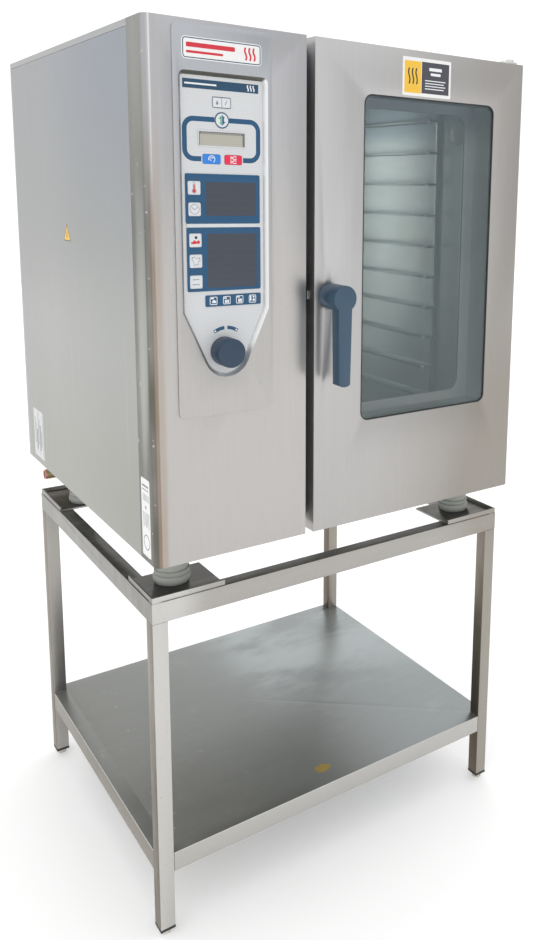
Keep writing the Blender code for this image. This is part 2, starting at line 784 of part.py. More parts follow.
turned(
    "cavity_lamp",
    (
        (0.0, 0.013),
        (0.012, 0.012),
        (0.021, 0.009),
        (0.027, 0.004),
        (0.028, 0.0),
        (0.0, 0.0),
    ),
    (CAVITY_RIGHT - GAP, 0.150, 0.800), (-1, 0, 0), glass, steps=24,
)

# ---------------------------------------------------------------- copper waste pipe
PIPE_RADIUS = 0.0125
PIPE_Z = -0.035
PIPE_Y = 0.755
PIPE_BEND = 0.022
pipe_curve = bpy.data.curves.new("copper_pipe", "CURVE")
pipe_curve.dimensions = "3D"
pipe_curve.bevel_depth = PIPE_RADIUS
pipe_curve.bevel_resolution = 4
pipe_curve.use_fill_caps = True
route = [at(0.100, PIPE_Y, -GAP)]
for x, z in arc((0.100 - PIPE_BEND, PIPE_Z + PIPE_BEND), PIPE_BEND, 0, -90, 6):
    route.append(at(x, PIPE_Y, z))
route.append(at(0.012, PIPE_Y, PIPE_Z))
pipe_spline = pipe_curve.splines.new("POLY")
pipe_spline.points.add(len(route) - 1)
for point, place in zip(pipe_spline.points, route):
    point.co = (*place, 1.0)
pipe_drawn = bpy.data.objects.new("copper_pipe_drawn", pipe_curve)
cutters.objects.link(pipe_drawn)
bpy.context.view_layer.update()
pipe_mesh = bpy.data.meshes.new_from_object(
    pipe_drawn.evaluated_get(bpy.context.evaluated_depsgraph_get())
)
bm = bmesh.new()
bm.from_mesh(pipe_mesh)
bmesh.ops.remove_doubles(bm, verts=bm.verts, dist=0.00001)
bm.to_mesh(pipe_mesh)
bm.free()
pipe_mesh.name = "copper_pipe"
pipe = bpy.data.objects.new("copper_pipe", pipe_mesh)
pipe.matrix_world = pipe_drawn.matrix_world.copy()
bpy.data.objects.remove(pipe_drawn, do_unlink=True)
finish(pipe, copper)
cut(pipe, rod("pipe_bore", (0.005, PIPE_Y, PIPE_Z), (0.070, PIPE_Y, PIPE_Z), 0.0105))

# ---------------------------------------------------------------- door


def door_plan(inset, depth):
    """The door seen from above, with its rounded edge on the hinge side."""
    radius = DOOR_EDGE_RADIUS - inset
    right = CABINET_WIDTH
    points = [(DOOR_LEFT + inset, depth), (DOOR_LEFT + inset, inset)]
    points += arc((right - DOOR_EDGE_RADIUS, DOOR_EDGE_RADIUS), radius, -90, 0, 4)
    points.append((right - inset, depth))
    return points


door_skin = outline(
    "door_skin", door_plan(0.0, DOOR_SKIN_DEPTH), 0.0, CABINET_HEIGHT, "Z", front_steel
)
cut(door_skin, outline(
    "door_skin_inside", door_plan(SHEET, DOOR_SKIN_DEPTH + 0.01), SHEET,
    CABINET_HEIGHT - 2 * SHEET, "Z",
))
cut(door_skin, outline(
    "door_window_hole",
    rounded_rectangle(WINDOW_LEFT, WINDOW_RIGHT, WINDOW_BOTTOM, WINDOW_TOP, WINDOW_CORNER, 6),
    -0.01, 0.02, "Y",
))
cut(door_skin, box("door_hinge_relief", (0.815, 0.040, -0.01), (0.860, 0.080, 0.950)))
cut(door_skin, rod(
    "spindle_hole", (HANDLE_X, -0.01, HANDLE_Z), (HANDLE_X, 0.01, HANDLE_Z), 0.008
))
cut(door_skin, box("latch_slot", (0.315, 0.027, 0.430), (0.330, 0.046, 0.506)))
cut(door_skin, rod(
    "hinge_pin_holes", (HINGE_X, HINGE_Y, -0.01), (HINGE_X, HINGE_Y, 0.95), 0.0056, sides=20
))

GLASS_LAP = 0.010
door_glass_outer = outline(
    "door_glass_outer",
    rounded_rectangle(
        WINDOW_LEFT - GLASS_LAP, WINDOW_RIGHT + GLASS_LAP, WINDOW_BOTTOM - GLASS_LAP,
        WINDOW_TOP + GLASS_LAP, 0.020,
    ),
    SHEET + GAP, 0.004, "Y", glass,
)
WELL_FRONT = SHEET + 2 * GAP + 0.004
WELL_BACK = DOOR_SKIN_DEPTH - 0.004
door_window_well = box(
    "door_window_well",
    (WINDOW_LEFT - 0.004, WELL_FRONT, WINDOW_BOTTOM - 0.004),
    (WINDOW_RIGHT + 0.004, WELL_BACK, WINDOW_TOP + 0.004),
    cavity_steel,
)
cut(door_window_well, box(
    "well_inside",
    (WINDOW_LEFT, 0.0, WINDOW_BOTTOM),
    (WINDOW_RIGHT, WELL_BACK - SHEET, WINDOW_TOP),
))
INNER_LEFT = WINDOW_LEFT + INNER_WINDOW_SIDE_INSET
INNER_RIGHT = WINDOW_RIGHT - INNER_WINDOW_SIDE_INSET
INNER_BOTTOM = WINDOW_BOTTOM + INNER_WINDOW_END_INSET
INNER_TOP = WINDOW_TOP - INNER_WINDOW_END_INSET
inner_opening = outline(
    "inner_window_hole",
    rounded_rectangle(INNER_LEFT, INNER_RIGHT, INNER_BOTTOM, INNER_TOP, 0.025, 5),
    0.040, 0.050, "Y",
)
cut(door_window_well, inner_opening)
door_glass_inner = outline(
    "door_glass_inner",
    rounded_rectangle(
        INNER_LEFT - GLASS_LAP, INNER_RIGHT + GLASS_LAP, INNER_BOTTOM - GLASS_LAP,
        INNER_TOP + GLASS_LAP, 0.020,
    ),
    WELL_BACK + GAP, 0.003, "Y", glass,
)
PANEL_BACK = DOOR_SKIN_DEPTH + 0.0023
door_inner_panel = box(
    "door_inner_panel",
    (DOOR_LEFT + 0.001, DOOR_SKIN_DEPTH + GAP, 0.001),
    (0.812, PANEL_BACK, CABINET_HEIGHT - 0.001),
    cavity_steel,
)
join(door_inner_panel, box(
    "inner_window_collar",
    (INNER_LEFT - GLASS_LAP, WELL_BACK + 2 * GAP + 0.003, INNER_BOTTOM - GLASS_LAP),
    (INNER_RIGHT + GLASS_LAP, PANEL_BACK - 0.001, INNER_TOP + GLASS_LAP),
))
join(door_inner_panel, box(
    "hinge_side_riser", (0.806, 0.0405, 0.0025), (0.808, PANEL_BACK - 0.001, 0.9375)
))
join(door_inner_panel, box("hinge_side_strip", (0.8065, 0.0403, 0.003), (0.8445, 0.042, 0.937)))
cut(door_inner_panel, inner_opening)

gasket = box(
    "door_gasket", (0.336, PANEL_BACK + 0.0006, 0.100), (0.802, FLANGE_FRONT - GAP, 0.900), silicone
)
cut(gasket, box("gasket_middle", (0.346, 0.04, 0.110), (0.792, 0.09, 0.890)))

# ---------------------------------------------------------------- handle and latch
handle = turned(
    "door_handle",
    (
        (0.0, HANDLE_REACH),
        (HANDLE_HUB_RADIUS - 0.001, HANDLE_REACH),
        (HANDLE_HUB_RADIUS, HANDLE_REACH - 0.001),
        (HANDLE_HUB_RADIUS, 0.0072),
        (HANDLE_HUB_RADIUS - 0.0014, 0.0072),
        (HANDLE_HUB_RADIUS - 0.0014, 2 * GAP),
        (0.0, 2 * GAP),
    ),
    (HANDLE_X, 0.0, HANDLE_Z), (0, -1, 0), blue_plastic, steps=36,
)
LEVER_TOP_HALF = 0.0150
LEVER_TIP_HALF = 0.0120
LEVER_TIP_RADIUS = 0.020
lever_tip = HANDLE_Z - LEVER_LENGTH
lever_outline = [(HANDLE_X - LEVER_TOP_HALF, HANDLE_Z)]
tip_angle = math.degrees(math.asin(LEVER_TIP_HALF / LEVER_TIP_RADIUS))
lever_outline += arc(
    (HANDLE_X, lever_tip + LEVER_TIP_RADIUS), LEVER_TIP_RADIUS, -90 - tip_angle, -90 + tip_angle, 6
)
lever_outline.append((HANDLE_X + LEVER_TOP_HALF, HANDLE_Z))
join(handle, outline(
    "lever", lever_outline, -HANDLE_REACH + 0.0006, LEVER_DEPTH, "Y"
))

SPINDLE_FRONT = GAP
latch = rod(
    "latch_tongue", (HANDLE_X, SPINDLE_FRONT, HANDLE_Z), (HANDLE_X, 0.0405, HANDLE_Z), 0.006,
    bright_steel, 20,
)
join(latch, box("tongue", (0.311, 0.0325, HANDLE_Z - 0.008), (HANDLE_X, 0.040, HANDLE_Z + 0.008)))

keeper = box(
    "latch_keeper", (CONTROL_WIDTH + GAP, 0.028, 0.436), (CONTROL_WIDTH + 0.0023, 0.064, 0.500),
    black_plastic,
)
join(keeper, box("keeper_stop", (CONTROL_WIDTH + 0.001, 0.0500, 0.440), (0.3155, 0.0540, 0.496)))

# ---------------------------------------------------------------- hinges
hinge_top = box(
    "hinge_top", (0.793, 0.010, CABINET_HEIGHT + GAP), (0.832, 0.110, CABINET_HEIGHT + 0.0053),
    bright_steel,
)
join(hinge_top, rod(
    "hinge_top_pin", (HINGE_X, HINGE_Y, 0.925), (HINGE_X, HINGE_Y, CABINET_HEIGHT + 0.002),
    HINGE_PIN_RADIUS, sides=16,
))
join(hinge_top, rod(
    "hinge_top_cap", (HINGE_X, HINGE_Y, CABINET_HEIGHT + 0.003),
    (HINGE_X, HINGE_Y, CABINET_HEIGHT + 0.0115), 0.0085, sides=20,
))
join(hinge_top, box(
    "hinge_top_arm", (0.766, 0.030, CABINET_HEIGHT + GAP + 0.0001),
    (0.795, 0.080, CABINET_HEIGHT + 0.0033),
))
hinge_bottom = box(
    "hinge_bottom", (0.808, 0.014, -0.0033), (0.838, 0.110, -GAP), bright_steel
)
join(hinge_bottom, rod(
    "hinge_bottom_pin", (HINGE_X, HINGE_Y, -0.002), (HINGE_X, HINGE_Y, 0.015),
    HINGE_PIN_RADIUS, sides=16,
))

# ---------------------------------------------------------------- joint axes
door_axis = pivot("door_axis", at(HINGE_X, HINGE_Y, 0.0))
handle_axis = pivot("handle_axis", at(HANDLE_X, 0.0, HANDLE_Z))
hang_on(door_axis, door_skin, door_glass_outer, door_window_well, door_glass_inner, door_inner_panel)
hang_on(door_axis, handle_axis)
hang_on(handle_axis, handle, latch)
baffle_axis = pivot("baffle_axis", at(BAFFLE_FACE - 0.001, BAFFLE_BACK + 0.002, 0.130))
hang_on(baffle_axis, baffle, rack_left)
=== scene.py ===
"""Looks for the combi steamer on its stand.

Lengths are metres. Places on the cabinet are measured from its lower front left corner,
x to the right, y to the back and z up, and at() turns them into the frame's coordinates.
"""
import math
import random

import bmesh
import bpy
from mathutils import Matrix, Vector


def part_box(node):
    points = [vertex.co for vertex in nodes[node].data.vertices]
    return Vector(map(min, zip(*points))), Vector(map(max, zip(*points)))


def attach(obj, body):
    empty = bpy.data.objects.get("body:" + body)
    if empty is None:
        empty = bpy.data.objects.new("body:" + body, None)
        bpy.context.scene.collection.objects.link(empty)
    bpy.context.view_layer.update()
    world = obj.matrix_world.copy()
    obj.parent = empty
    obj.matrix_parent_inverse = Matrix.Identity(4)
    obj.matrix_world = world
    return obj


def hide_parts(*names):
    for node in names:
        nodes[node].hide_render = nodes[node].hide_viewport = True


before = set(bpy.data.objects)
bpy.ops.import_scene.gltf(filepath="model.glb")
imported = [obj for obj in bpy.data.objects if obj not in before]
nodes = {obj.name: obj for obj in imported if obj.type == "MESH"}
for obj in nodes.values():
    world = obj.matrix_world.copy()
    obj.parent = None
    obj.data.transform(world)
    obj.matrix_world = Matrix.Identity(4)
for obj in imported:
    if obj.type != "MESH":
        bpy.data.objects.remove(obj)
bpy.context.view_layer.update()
seeded = random.Random(11)

# ------------------------------------------------------------------ driving dimensions
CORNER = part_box("front_cover")[0]


def at(x, y, z):
    """A point measured from the cabinet's lower front left corner, in the frame."""
    return Vector((x, y, z)) + CORNER


def box(name):
    """A node's lowest and highest corners, measured from the cabinet's corner."""
    low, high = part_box(name)
    return low - CORNER, high - CORNER


CABINET_TOP = box("top_cover")[1].z
SKIN_LOW, SKIN_HIGH = box("door_skin")
SHELF_LOW, SHELF_HIGH = box("stand_shelf")
INK = 0.00012

# ------------------------------------------------------------------ camera
CAMERA_PLACE = at(-0.54269, -1.42357, 0.66804)
CAMERA_AZIMUTH = 0.6475
CAMERA_ELEVATION = -0.16911
CAMERA_ROLL = 0.02158
CAMERA_LENS = 33.771
CAMERA_SHIFT = (-0.14494, -0.13642)


def make_camera():
    ahead = Vector((
        math.sin(CAMERA_AZIMUTH) * math.cos(CAMERA_ELEVATION),
        math.cos(CAMERA_AZIMUTH) * math.cos(CAMERA_ELEVATION),
        math.sin(CAMERA_ELEVATION),
    ))
    level_right = ahead.cross(Vector((0, 0, 1))).normalized()
    level_up = level_right.cross(ahead)
    right = level_right * math.cos(CAMERA_ROLL) + level_up * math.sin(CAMERA_ROLL)
    up = level_up * math.cos(CAMERA_ROLL) - level_right * math.sin(CAMERA_ROLL)
    data = bpy.data.cameras.new("view")
    data.sensor_width = 36.0
    data.lens = CAMERA_LENS
    data.shift_x, data.shift_y = CAMERA_SHIFT
    data.clip_start = 0.05
    data.clip_end = 100.0
    camera = bpy.data.objects.new("view", data)
    turn = Matrix((right, up, -ahead)).transposed()
    camera.matrix_world = Matrix.Translation(CAMERA_PLACE) @ turn.to_4x4()
    bpy.context.scene.collection.objects.link(camera)
    bpy.context.scene.camera = camera


make_camera()

# ------------------------------------------------------------------ node building


def put(tree, kind, settings=None, **inputs):
    """Adds a shader node. An input is a number, a colour or another node's output."""
    node = tree.nodes.new(kind)
    for key, value in (settings or {}).items():
        setattr(node, key, value)
    for key, value in inputs.items():
        name = key.replace("_", " ")
        socket = node.inputs[int(key[1:])] if key[0] == "i" and key[1:].isdigit() else node.inputs[name]
        if isinstance(value, bpy.types.NodeSocket):
            tree.links.new(value, socket)
        else:
            socket.default_value = value
    return node


def arithmetic(tree, operation, first, second=0.0, third=0.0):
    return put(tree, "ShaderNodeMath", {"operation": operation}, i0=first, i1=second, i2=third).outputs[0]


def eased(tree, value, low, high, to_low, to_high):
    """value between low and high, moved smoothly to another range."""
    node = put(tree, "ShaderNodeMapRange", {"interpolation_type": "SMOOTHSTEP"}, Value=value)
    for name, number in zip(("From Min", "From Max", "To Min", "To Max"), (low, high, to_low, to_high)):
        node.inputs[name].default_value = number
    return node.outputs[0]


class Finish:
    """A material being put together round one Principled shader."""

    def __init__(self, name, roughness, metallic=0.0):
        self.material = bpy.data.materials.new(name)
        self.material.use_nodes = True
        self.tree = self.material.node_tree
        self.tree.nodes.clear()
        self.shader = put(self.tree, "ShaderNodeBsdfPrincipled", None, Roughness=roughness, Metallic=metallic)
        out = put(self.tree, "ShaderNodeOutputMaterial")
        self.tree.links.new(self.shader.outputs[0], out.inputs[0])
        self.place = put(self.tree, "ShaderNodeTexCoord").outputs["Object"]
        self.axes = put(self.tree, "ShaderNodeSeparateXYZ", None, Vector=self.place).outputs

    def math(self, operation, first, second=0.0, third=0.0):
        return arithmetic(self.tree, operation, first, second, third)

    def noise(self, scale, detail=3.0, rough=0.5, shift=(0, 0, 0)):
        """Noise from 0 to 1; scale is one number, or three for a stretched grain."""
        if isinstance(scale, (int, float)):
            scale = (scale, scale, scale)
        spot = put(self.tree, "ShaderNodeMapping", None, Vector=self.place, Scale=scale, Location=shift)
        return put(
            self.tree, "ShaderNodeTexNoise", None, Vector=spot.outputs[0], Scale=1.0, Detail=detail,
            Roughness=rough,
        ).outputs[0]

    def spread(self, value, low, high, to_low=0.0, to_high=1.0):
        return eased(self.tree, value, low, high, to_low, to_high)

    def mix(self, amount, first, second, blend="MIX"):
        node = self.tree.nodes.new("ShaderNodeMix")
        node.data_type = "RGBA"
        node.blend_type = blend
        for socket, value in ((node.inputs[0], amount), (node.inputs[6], first), (node.inputs[7], second)):
            if isinstance(value, bpy.types.NodeSocket):
                self.tree.links.new(value, socket)
            elif isinstance(value, (int, float)):
                socket.default_value = value
            else:
                socket.default_value = (*value, 1.0)
        return node.outputs[2]

    def tint(self, colour, tone):
        """colour times a tone near 1."""
        grey = put(self.tree, "ShaderNodeCombineXYZ", None, X=tone, Y=tone, Z=tone).outputs[0]
        return self.mix(1.0, colour, grey, "MULTIPLY")

    def sum(self, *terms):
        total = terms[0]
        for term in terms[1:]:
            total = self.math("ADD", total, term)
        return total

    def times(self, *factors):
        product = factors[0]
        for factor in factors[1:]:
            product = self.math("MULTIPLY", product, factor)
        return product

    def along(self, axis, low, high, to_low=0.0, to_high=1.0):
        """spread() for a place on one axis, with low and high in cabinet coordinates."""
        return self.spread(self.axes[axis], low + CORNER[axis], high + CORNER[axis], to_low, to_high)

    def facing(self):
        """The three parts of the direction that the surface faces."""
        normal = put(self.tree, "ShaderNodeNewGeometry").outputs["Normal"]
        return put(self.tree, "ShaderNodeSeparateXYZ", None, Vector=normal).outputs

    def shade(self, amount, base, factors):
        """base, with its colour multiplied by factors where amount is 1."""
        return self.mix(amount, base, self.mix(1.0, base, factors, "MULTIPLY"))

    def painted(self):
        """The colour that the shader has so far."""
        return self.shader.inputs["Base Color"].links[0].from_socket

    def swing(self, value, size):
        """A value from 0 to 1 turned into one from -size/2 to size/2."""
        return self.times(self.math("SUBTRACT", value, 0.5), size)

    def around(self, level, *swings):
        """level, moved by each (value, size) as in swing()."""
        return self.sum(level, *[self.swing(value, size) for value, size in swings])

    def colour(self, value):
        self.tree.links.new(value, self.shader.inputs["Base Color"])

    def rough(self, level, *swings):
        value = self.math("MAXIMUM", self.around(level, *swings), 0.05)
        self.tree.links.new(value, self.shader.inputs["Roughness"])

    def bump(self, height, distance, strength):
        node = put(self.tree, "ShaderNodeBump", None, Height=height, Distance=distance, Strength=strength)
        self.tree.links.new(node.outputs[0], self.shader.inputs["Normal"])

    def set(self, **inputs):
        for key, value in inputs.items():
            self.shader.inputs[key.replace("_", " ")].default_value = value


STEEL_METALLIC = 0.92
GRAIN = {"X": (14.0, 900.0, 900.0), "Y": (900.0, 14.0, 900.0), "Z": (900.0, 900.0, 14.0)}
STREAK = {"X": (3.0, 130.0, 130.0), "Y": (130.0, 3.0, 130.0), "Z": (130.0, 130.0, 3.0)}


def brushed(name, colour, roughness, grain, streak, cloud, tarnish=None, tarnish_amount=0.0):
    """Brushed stainless steel: fine grain, longer streaks, soft clouding, small marks."""
    made = Finish(name, roughness, STEEL_METALLIC)
    fine = made.noise(GRAIN[grain], 2.0)
    streaks = made.noise(STREAK[grain], 3.0)
    clouds = made.noise((3.1, 3.1, 2.2), 4.0, 0.6)
    smudge = made.noise(11.0, 5.0, 0.65, (4.1, 1.7, 0.3))
    marks = made.spread(made.noise(95.0, 3.0, 0.6, (7.0, 2.0, 5.0)), 0.66, 0.80)
    hairs = made.spread(made.noise([0.45 * s for s in STREAK[grain]], 1.0, 0.4, (2.0, 9.0, 1.0)), 0.69, 0.76)
    even = made.around(1.0, (fine, 0.10), (streaks, streak), (clouds, cloud), (smudge, cloud * 0.7))
    tone = made.sum(even, made.times(marks, -0.16), made.times(hairs, 0.05))
    base = made.tint(colour, tone)
    if tarnish:
        patch = made.spread(made.noise(6.0, 4.0, 0.6, (1.0, 6.0, 3.0)), 0.42, 0.72, 0.0, tarnish_amount)
        base = made.mix(patch, base, made.tint(tarnish, tone))
    made.colour(base)
    made.rough(roughness, (clouds, 0.14), (streaks, 0.10), (smudge, 0.08))
    made.bump(made.sum(fine, made.times(streaks, 0.6)), 0.00012, 0.35)
    made.set(Anisotropic=0.25)
    return made


def plastic(name, colour, roughness, grain_size=900.0, mottle=0.08, dust=None, dust_amount=0.0):
    """Moulded plastic or rubber with a fine texture, slight unevenness and some dust."""
    made = Finish(name, roughness)
    grain = made.noise(grain_size, 2.0)
    cloud = made.noise(28.0, 4.0, 0.6)
    tone = made.around(1.0, (grain, mottle * 0.7), (cloud, mottle * 2.0))
    base = made.tint(colour, tone)
    if dust:
        where = made.spread(made.noise(60.0, 5.0, 0.7, (3.0, 3.0, 1.0)), 0.50, 0.75, 0.0, dust_amount)
        base = made.mix(where, base, dust)
    made.colour(base)
    made.rough(roughness, (cloud, 0.16), (grain, 0.10))
    made.bump(grain, 0.00008, 0.4)
    return made.material


def ink(name, colour, roughness=0.42):
    """A printed colour with a faint screen texture and light rubbing."""
    made = Finish(name, roughness)
    grain = made.noise(1500.0, 1.0)
    wear = made.noise(70.0, 5.0, 0.7)
    tone = made.around(1.0, (grain, 0.06), (wear, 0.14))
    made.colour(made.tint(colour, tone))
    made.rough(roughness, (wear, 0.22))
    made.bump(grain, 0.00002, 0.3)
    return made.material


# ------------------------------------------------------------------ materials
REAR = brushed("mat_rear_steel", (0.43, 0.44, 0.445), 0.42, "Z", 0.07, 0.08).material
TOP = brushed("mat_top_steel", (0.46, 0.465, 0.47), 0.40, "Y", 0.06, 0.08).material
# The racks' steel is darker than the cavity's as painted shade, so that the rails read as the dark bands of
# shade along them.
RACK = brushed("mat_rack_steel", (0.27, 0.30, 0.30), 0.30, "Y", 0.08, 0.12).material
BRIGHT = brushed("mat_bright_steel", (0.66, 0.66, 0.65), 0.24, "X", 0.05, 0.06).material
BLACK_PLASTIC = plastic("mat_black_plastic", (0.022, 0.022, 0.023), 0.50, dust=(0.16, 0.15, 0.14),
                        dust_amount=0.35)
BLUE_PLASTIC = plastic("mat_blue_plastic", (0.032, 0.074, 0.122), 0.36, 1300.0, 0.06)
KNOB_PLASTIC = plastic("mat_knob_plastic", (0.016, 0.042, 0.080), 0.40, 1300.0, 0.06)
FOOT = plastic("mat_foot_plastic", (0.400, 0.420, 0.390), 0.55, 700.0, 0.10, (0.42, 0.42, 0.38), 0.30)
KEY_GREY = ink("mat_key_grey", (0.66, 0.68, 0.70))
KEY_BLUE = ink("mat_key_blue", (0.018, 0.205, 0.66))
KEY_RED = ink("mat_key_red", (0.72, 0.015, 0.065))
PANEL_BLUE = ink("mat_panel_blue", (0.005, 0.072, 0.170))
HEADER_BLUE = ink("mat_header_blue", (0.008, 0.055, 0.120))
WHITE_INK = ink("mat_white_ink", (0.78, 0.80, 0.82))
GREY_INK = ink("mat_grey_ink", (0.19, 0.20, 0.23))
BLACK_INK = ink("mat_black_ink", (0.018, 0.018, 0.020))
RED_INK = ink("mat_red_ink", (0.60, 0.022, 0.040))
GREEN_INK = ink("mat_green_ink", (0.03, 0.40, 0.20))
LABEL_WHITE = ink("mat_label_white", (0.80, 0.80, 0.79), 0.38)
LABEL_YELLOW = ink("mat_label_yellow", (0.82, 0.50, 0.050), 0.38)
LABEL_DARK = ink("mat_label_dark", (0.060, 0.058, 0.075), 0.38)
LABEL_SILVER = ink("mat_label_silver", (0.60, 0.61, 0.61), 0.34)
SILICONE = plastic("mat_silicone", (0.020, 0.020, 0.021), 0.58, 1100.0, 0.10, (0.08, 0.08, 0.075), 0.30)
MOTOR = plastic("mat_motor_paint", (0.10, 0.11, 0.12), 0.42, 500.0, 0.10)
GREY_FOIL = ink("mat_grey_foil", (0.610, 0.625, 0.640), 0.38)
LCD_SHADE = ink("mat_lcd_shade", (0.155, 0.150, 0.140), 0.40)
LCD_CELLS = ink("mat_lcd_cells", (0.34, 0.33, 0.30), 0.40)


def front_steel():
    """The cover's steel: painted grey shade on its wrap; painted dark, brown and tan reflection bands round
    its corner, stronger low down; a pale painted highlight.
    """
    made = brushed("mat_front_steel", (0.478, 0.462, 0.446), 0.34, "Z", 0.05, 0.05)
    side = made.times(made.facing()[0], -1.0)
    low = made.along(2, 0.90, 0.52)
    patch = made.spread(made.noise((8.0, 8.0, 2.6), 3.0, 0.6, (2.0, 2.0, 4.0)), 0.30, 0.60, 0.55, 1.0)
    strength = made.times(made.math("MULTIPLY_ADD", low, 0.72, 0.28), patch)
    base = made.shade(made.along(2, 0.45, 0.90, 0.0, 0.7), made.painted(), (0.93, 0.98, 1.09))
    # Painted shade: faces of the wrap that turn left are painted darker grey.
    base = made.mix(made.times(made.spread(side, 0.90, 0.985), 0.9), base, (0.335, 0.346, 0.322))
    # Painted reflections round the corner: tan, brown and dark bands set by the way each face turns, stronger
    # low down.
    tan = made.times(made.along(0, 0.029, 0.018), made.spread(side, 0.50, 0.30))
    base = made.mix(made.times(tan, strength, 0.70), base, (0.385, 0.318, 0.265))
    waver = made.sum(side, made.swing(made.noise((10.0, 10.0, 14.0), 4.0, 0.65, (4.0, 4.0, 1.0)), 0.10))
    brown = made.times(made.spread(waver, 0.14, 0.34), made.spread(side, 0.74, 0.54))
    base = made.mix(made.times(brown, low, patch, 0.88), base, (0.235, 0.172, 0.118))
    dark = made.times(made.spread(side, 0.48, 0.66), made.spread(side, 1.0, 0.99))
    base = made.mix(made.times(dark, strength, 0.94), base, (0.108, 0.104, 0.084))
    # A painted highlight: a pale band round the corner, stronger high up.
    top = made.times(made.spread(side, 0.22, 0.30), made.spread(side, 0.46, 0.38))
    glint = made.times(made.math("SUBTRACT", 1.0, low), 0.75)
    base = made.mix(made.times(top, glint), base, (0.74, 0.76, 0.80))
    specks = made.spread(made.noise(70.0, 2.0, 0.5, (5.0, 1.0, 2.0)), 0.71, 0.76)
    edge = made.times(made.spread(side, 0.15, 0.5), specks, 0.7)
    made.colour(made.mix(edge, base, (0.62, 0.60, 0.56)))
    return made.material


def cavity_steel():
    """The cavity's steel, tarnished, with painted shade that makes it darker and bluer towards its roof."""
    made = brushed("mat_cavity_steel", (0.50, 0.53, 0.52), 0.36, "Z", 0.08, 0.12, tarnish=(0.36, 0.33, 0.26),
                   tarnish_amount=0.30)
    # Painted shade: darker and bluer towards the roof.
    made.colour(made.shade(made.along(2, 0.76, 0.83), made.painted(), (0.42, 0.48, 0.56)))
    return made.material


def side_steel():
    """The side panels' steel: a little blue high up, warmer low down."""
    made = brushed("mat_side_steel", (0.405, 0.412, 0.402), 0.40, "Z", 0.06, 0.07)
    high = made.times(made.along(2, 0.40, 0.96), made.along(1, 0.75, 0.10, 0.35, 1.0))
    base = made.shade(high, made.painted(), (0.885, 0.93, 1.06))
    made.colour(made.shade(made.along(2, 0.42, 0.05), base, (0.90, 0.88, 0.83)))
    return made.material


def stand_steel(name, grain, left_shade_colour):
    """The stand's tube, with specks: painted light makes it pale in front, painted shade browns its left faces
    and darkens the top of the frame.
    """
    made = brushed(name, (0.400, 0.385, 0.362), 0.36, grain, 0.14, 0.16)
    facing = made.facing()
    # Painted shade: faces that turn left are painted brown (grey on the rails), patchy, and stronger lower
    # down.
    shade_patches = made.spread(made.noise((26.0, 26.0, 5.0), 4.0, 0.6), 0.36, 0.62)
    deeper = made.along(2, -0.153, -0.713, 0.45, 0.85)
    left = made.times(made.spread(facing[0], -0.35, -0.75), made.math("MULTIPLY_ADD", shade_patches, 0.25, deeper))
    base = made.mix(left, made.painted(), left_shade_colour)
    # Painted light: faces that turn to the front, near the front left corner, are painted pale.
    front = made.times(made.spread(facing[1], -0.35, -0.75), made.along(0, 0.1235, 0.0435))
    base = made.mix(made.times(front, made.along(1, 0.1875, 0.0875), 0.75), base, (0.620, 0.610, 0.585))
    base = made.shade(made.along(0, 0.6735, 0.8035, 0.0, 0.75), base, (0.80, 0.76, 0.70))
    specks = made.spread(made.noise(240.0, 3.0, 0.7, (1.0, 4.0, 2.0)), 0.64, 0.70)
    base = made.mix(made.times(specks, 0.45), base, (0.16, 0.14, 0.12))
    # Painted shade: faces that turn up are painted dark, with streaks.
    streak = made.spread(made.noise((9.0, 30.0, 9.0), 4.0, 0.7), 0.40, 0.70)
    top = made.mix(streak, (0.105, 0.102, 0.098), (0.190, 0.182, 0.165))
    made.colour(made.mix(made.times(made.spread(facing[2], 0.35, 0.75), 0.93), base, top))
    return made.material


def bezel_steel():
    """The bezel's steel: its bevels have painted shade where they face down or right and painted highlights
    where they face up or left.
    """
    made = brushed("mat_bezel_steel", (0.462, 0.448, 0.434), 0.34, "Z", 0.05, 0.05)
    facing = made.facing()
    base = made.shade(made.along(2, 0.42, 0.88), made.painted(), (0.94, 1.00, 1.10))
    # Painted shade on bevels that face down or right, painted highlights on bevels that face up or left.
    for axis, first, last, amount, colour in (
        (2, -0.25, -0.60, 1.00, (0.150, 0.145, 0.125)), (2, 0.25, 0.55, 0.80, (0.86, 0.87, 0.87)),
        (0, -0.25, -0.55, 0.85, (0.84, 0.85, 0.85)), (0, 0.25, 0.55, 0.55, (0.20, 0.20, 0.19)),
    ):
        base = made.mix(made.times(made.spread(facing[axis], first, last), amount), base, colour)
    made.colour(base)
    return made.material


def door_steel():
    """The door's steel, which is slightly darker and browner towards the hinges and the bottom."""
    made = Finish("mat_door_steel", 0.33, STEEL_METALLIC)
    fine = made.noise(GRAIN["Z"], 2.0)
    streaks = made.noise(STREAK["Z"], 3.0)
    clouds = made.noise((3.5, 3.5, 2.0), 4.0, 0.6)
    across = made.along(0, SKIN_LOW.x + 0.10, SKIN_HIGH.x + 0.02)
    down = made.along(2, CABINET_TOP - 0.30, -0.10)
    amount = made.math("MINIMUM", made.sum(
        made.times(across, 0.62), made.times(down, across, 0.38), made.times(down, 0.36),
        made.swing(clouds, 0.20),
    ), 1.0)
    tone = made.around(1.0, (fine, 0.10), (streaks, 0.06), (clouds, 0.05))
    base = made.mix(made.math("MAXIMUM", amount, 0.0), (0.512, 0.506, 0.506), (0.315, 0.292, 0.262))
    made.colour(made.tint(base, tone))
    made.rough(0.34, (clouds, 0.14), (streaks, 0.10))
    made.bump(made.sum(fine, made.times(streaks, 0.6)), 0.00012, 0.35)
    made.set(Anisotropic=0.25)
    return made.material


STAIN_MIDDLE = (0.399, 0.087)
STAIN_SIZE = (0.020, 0.012)


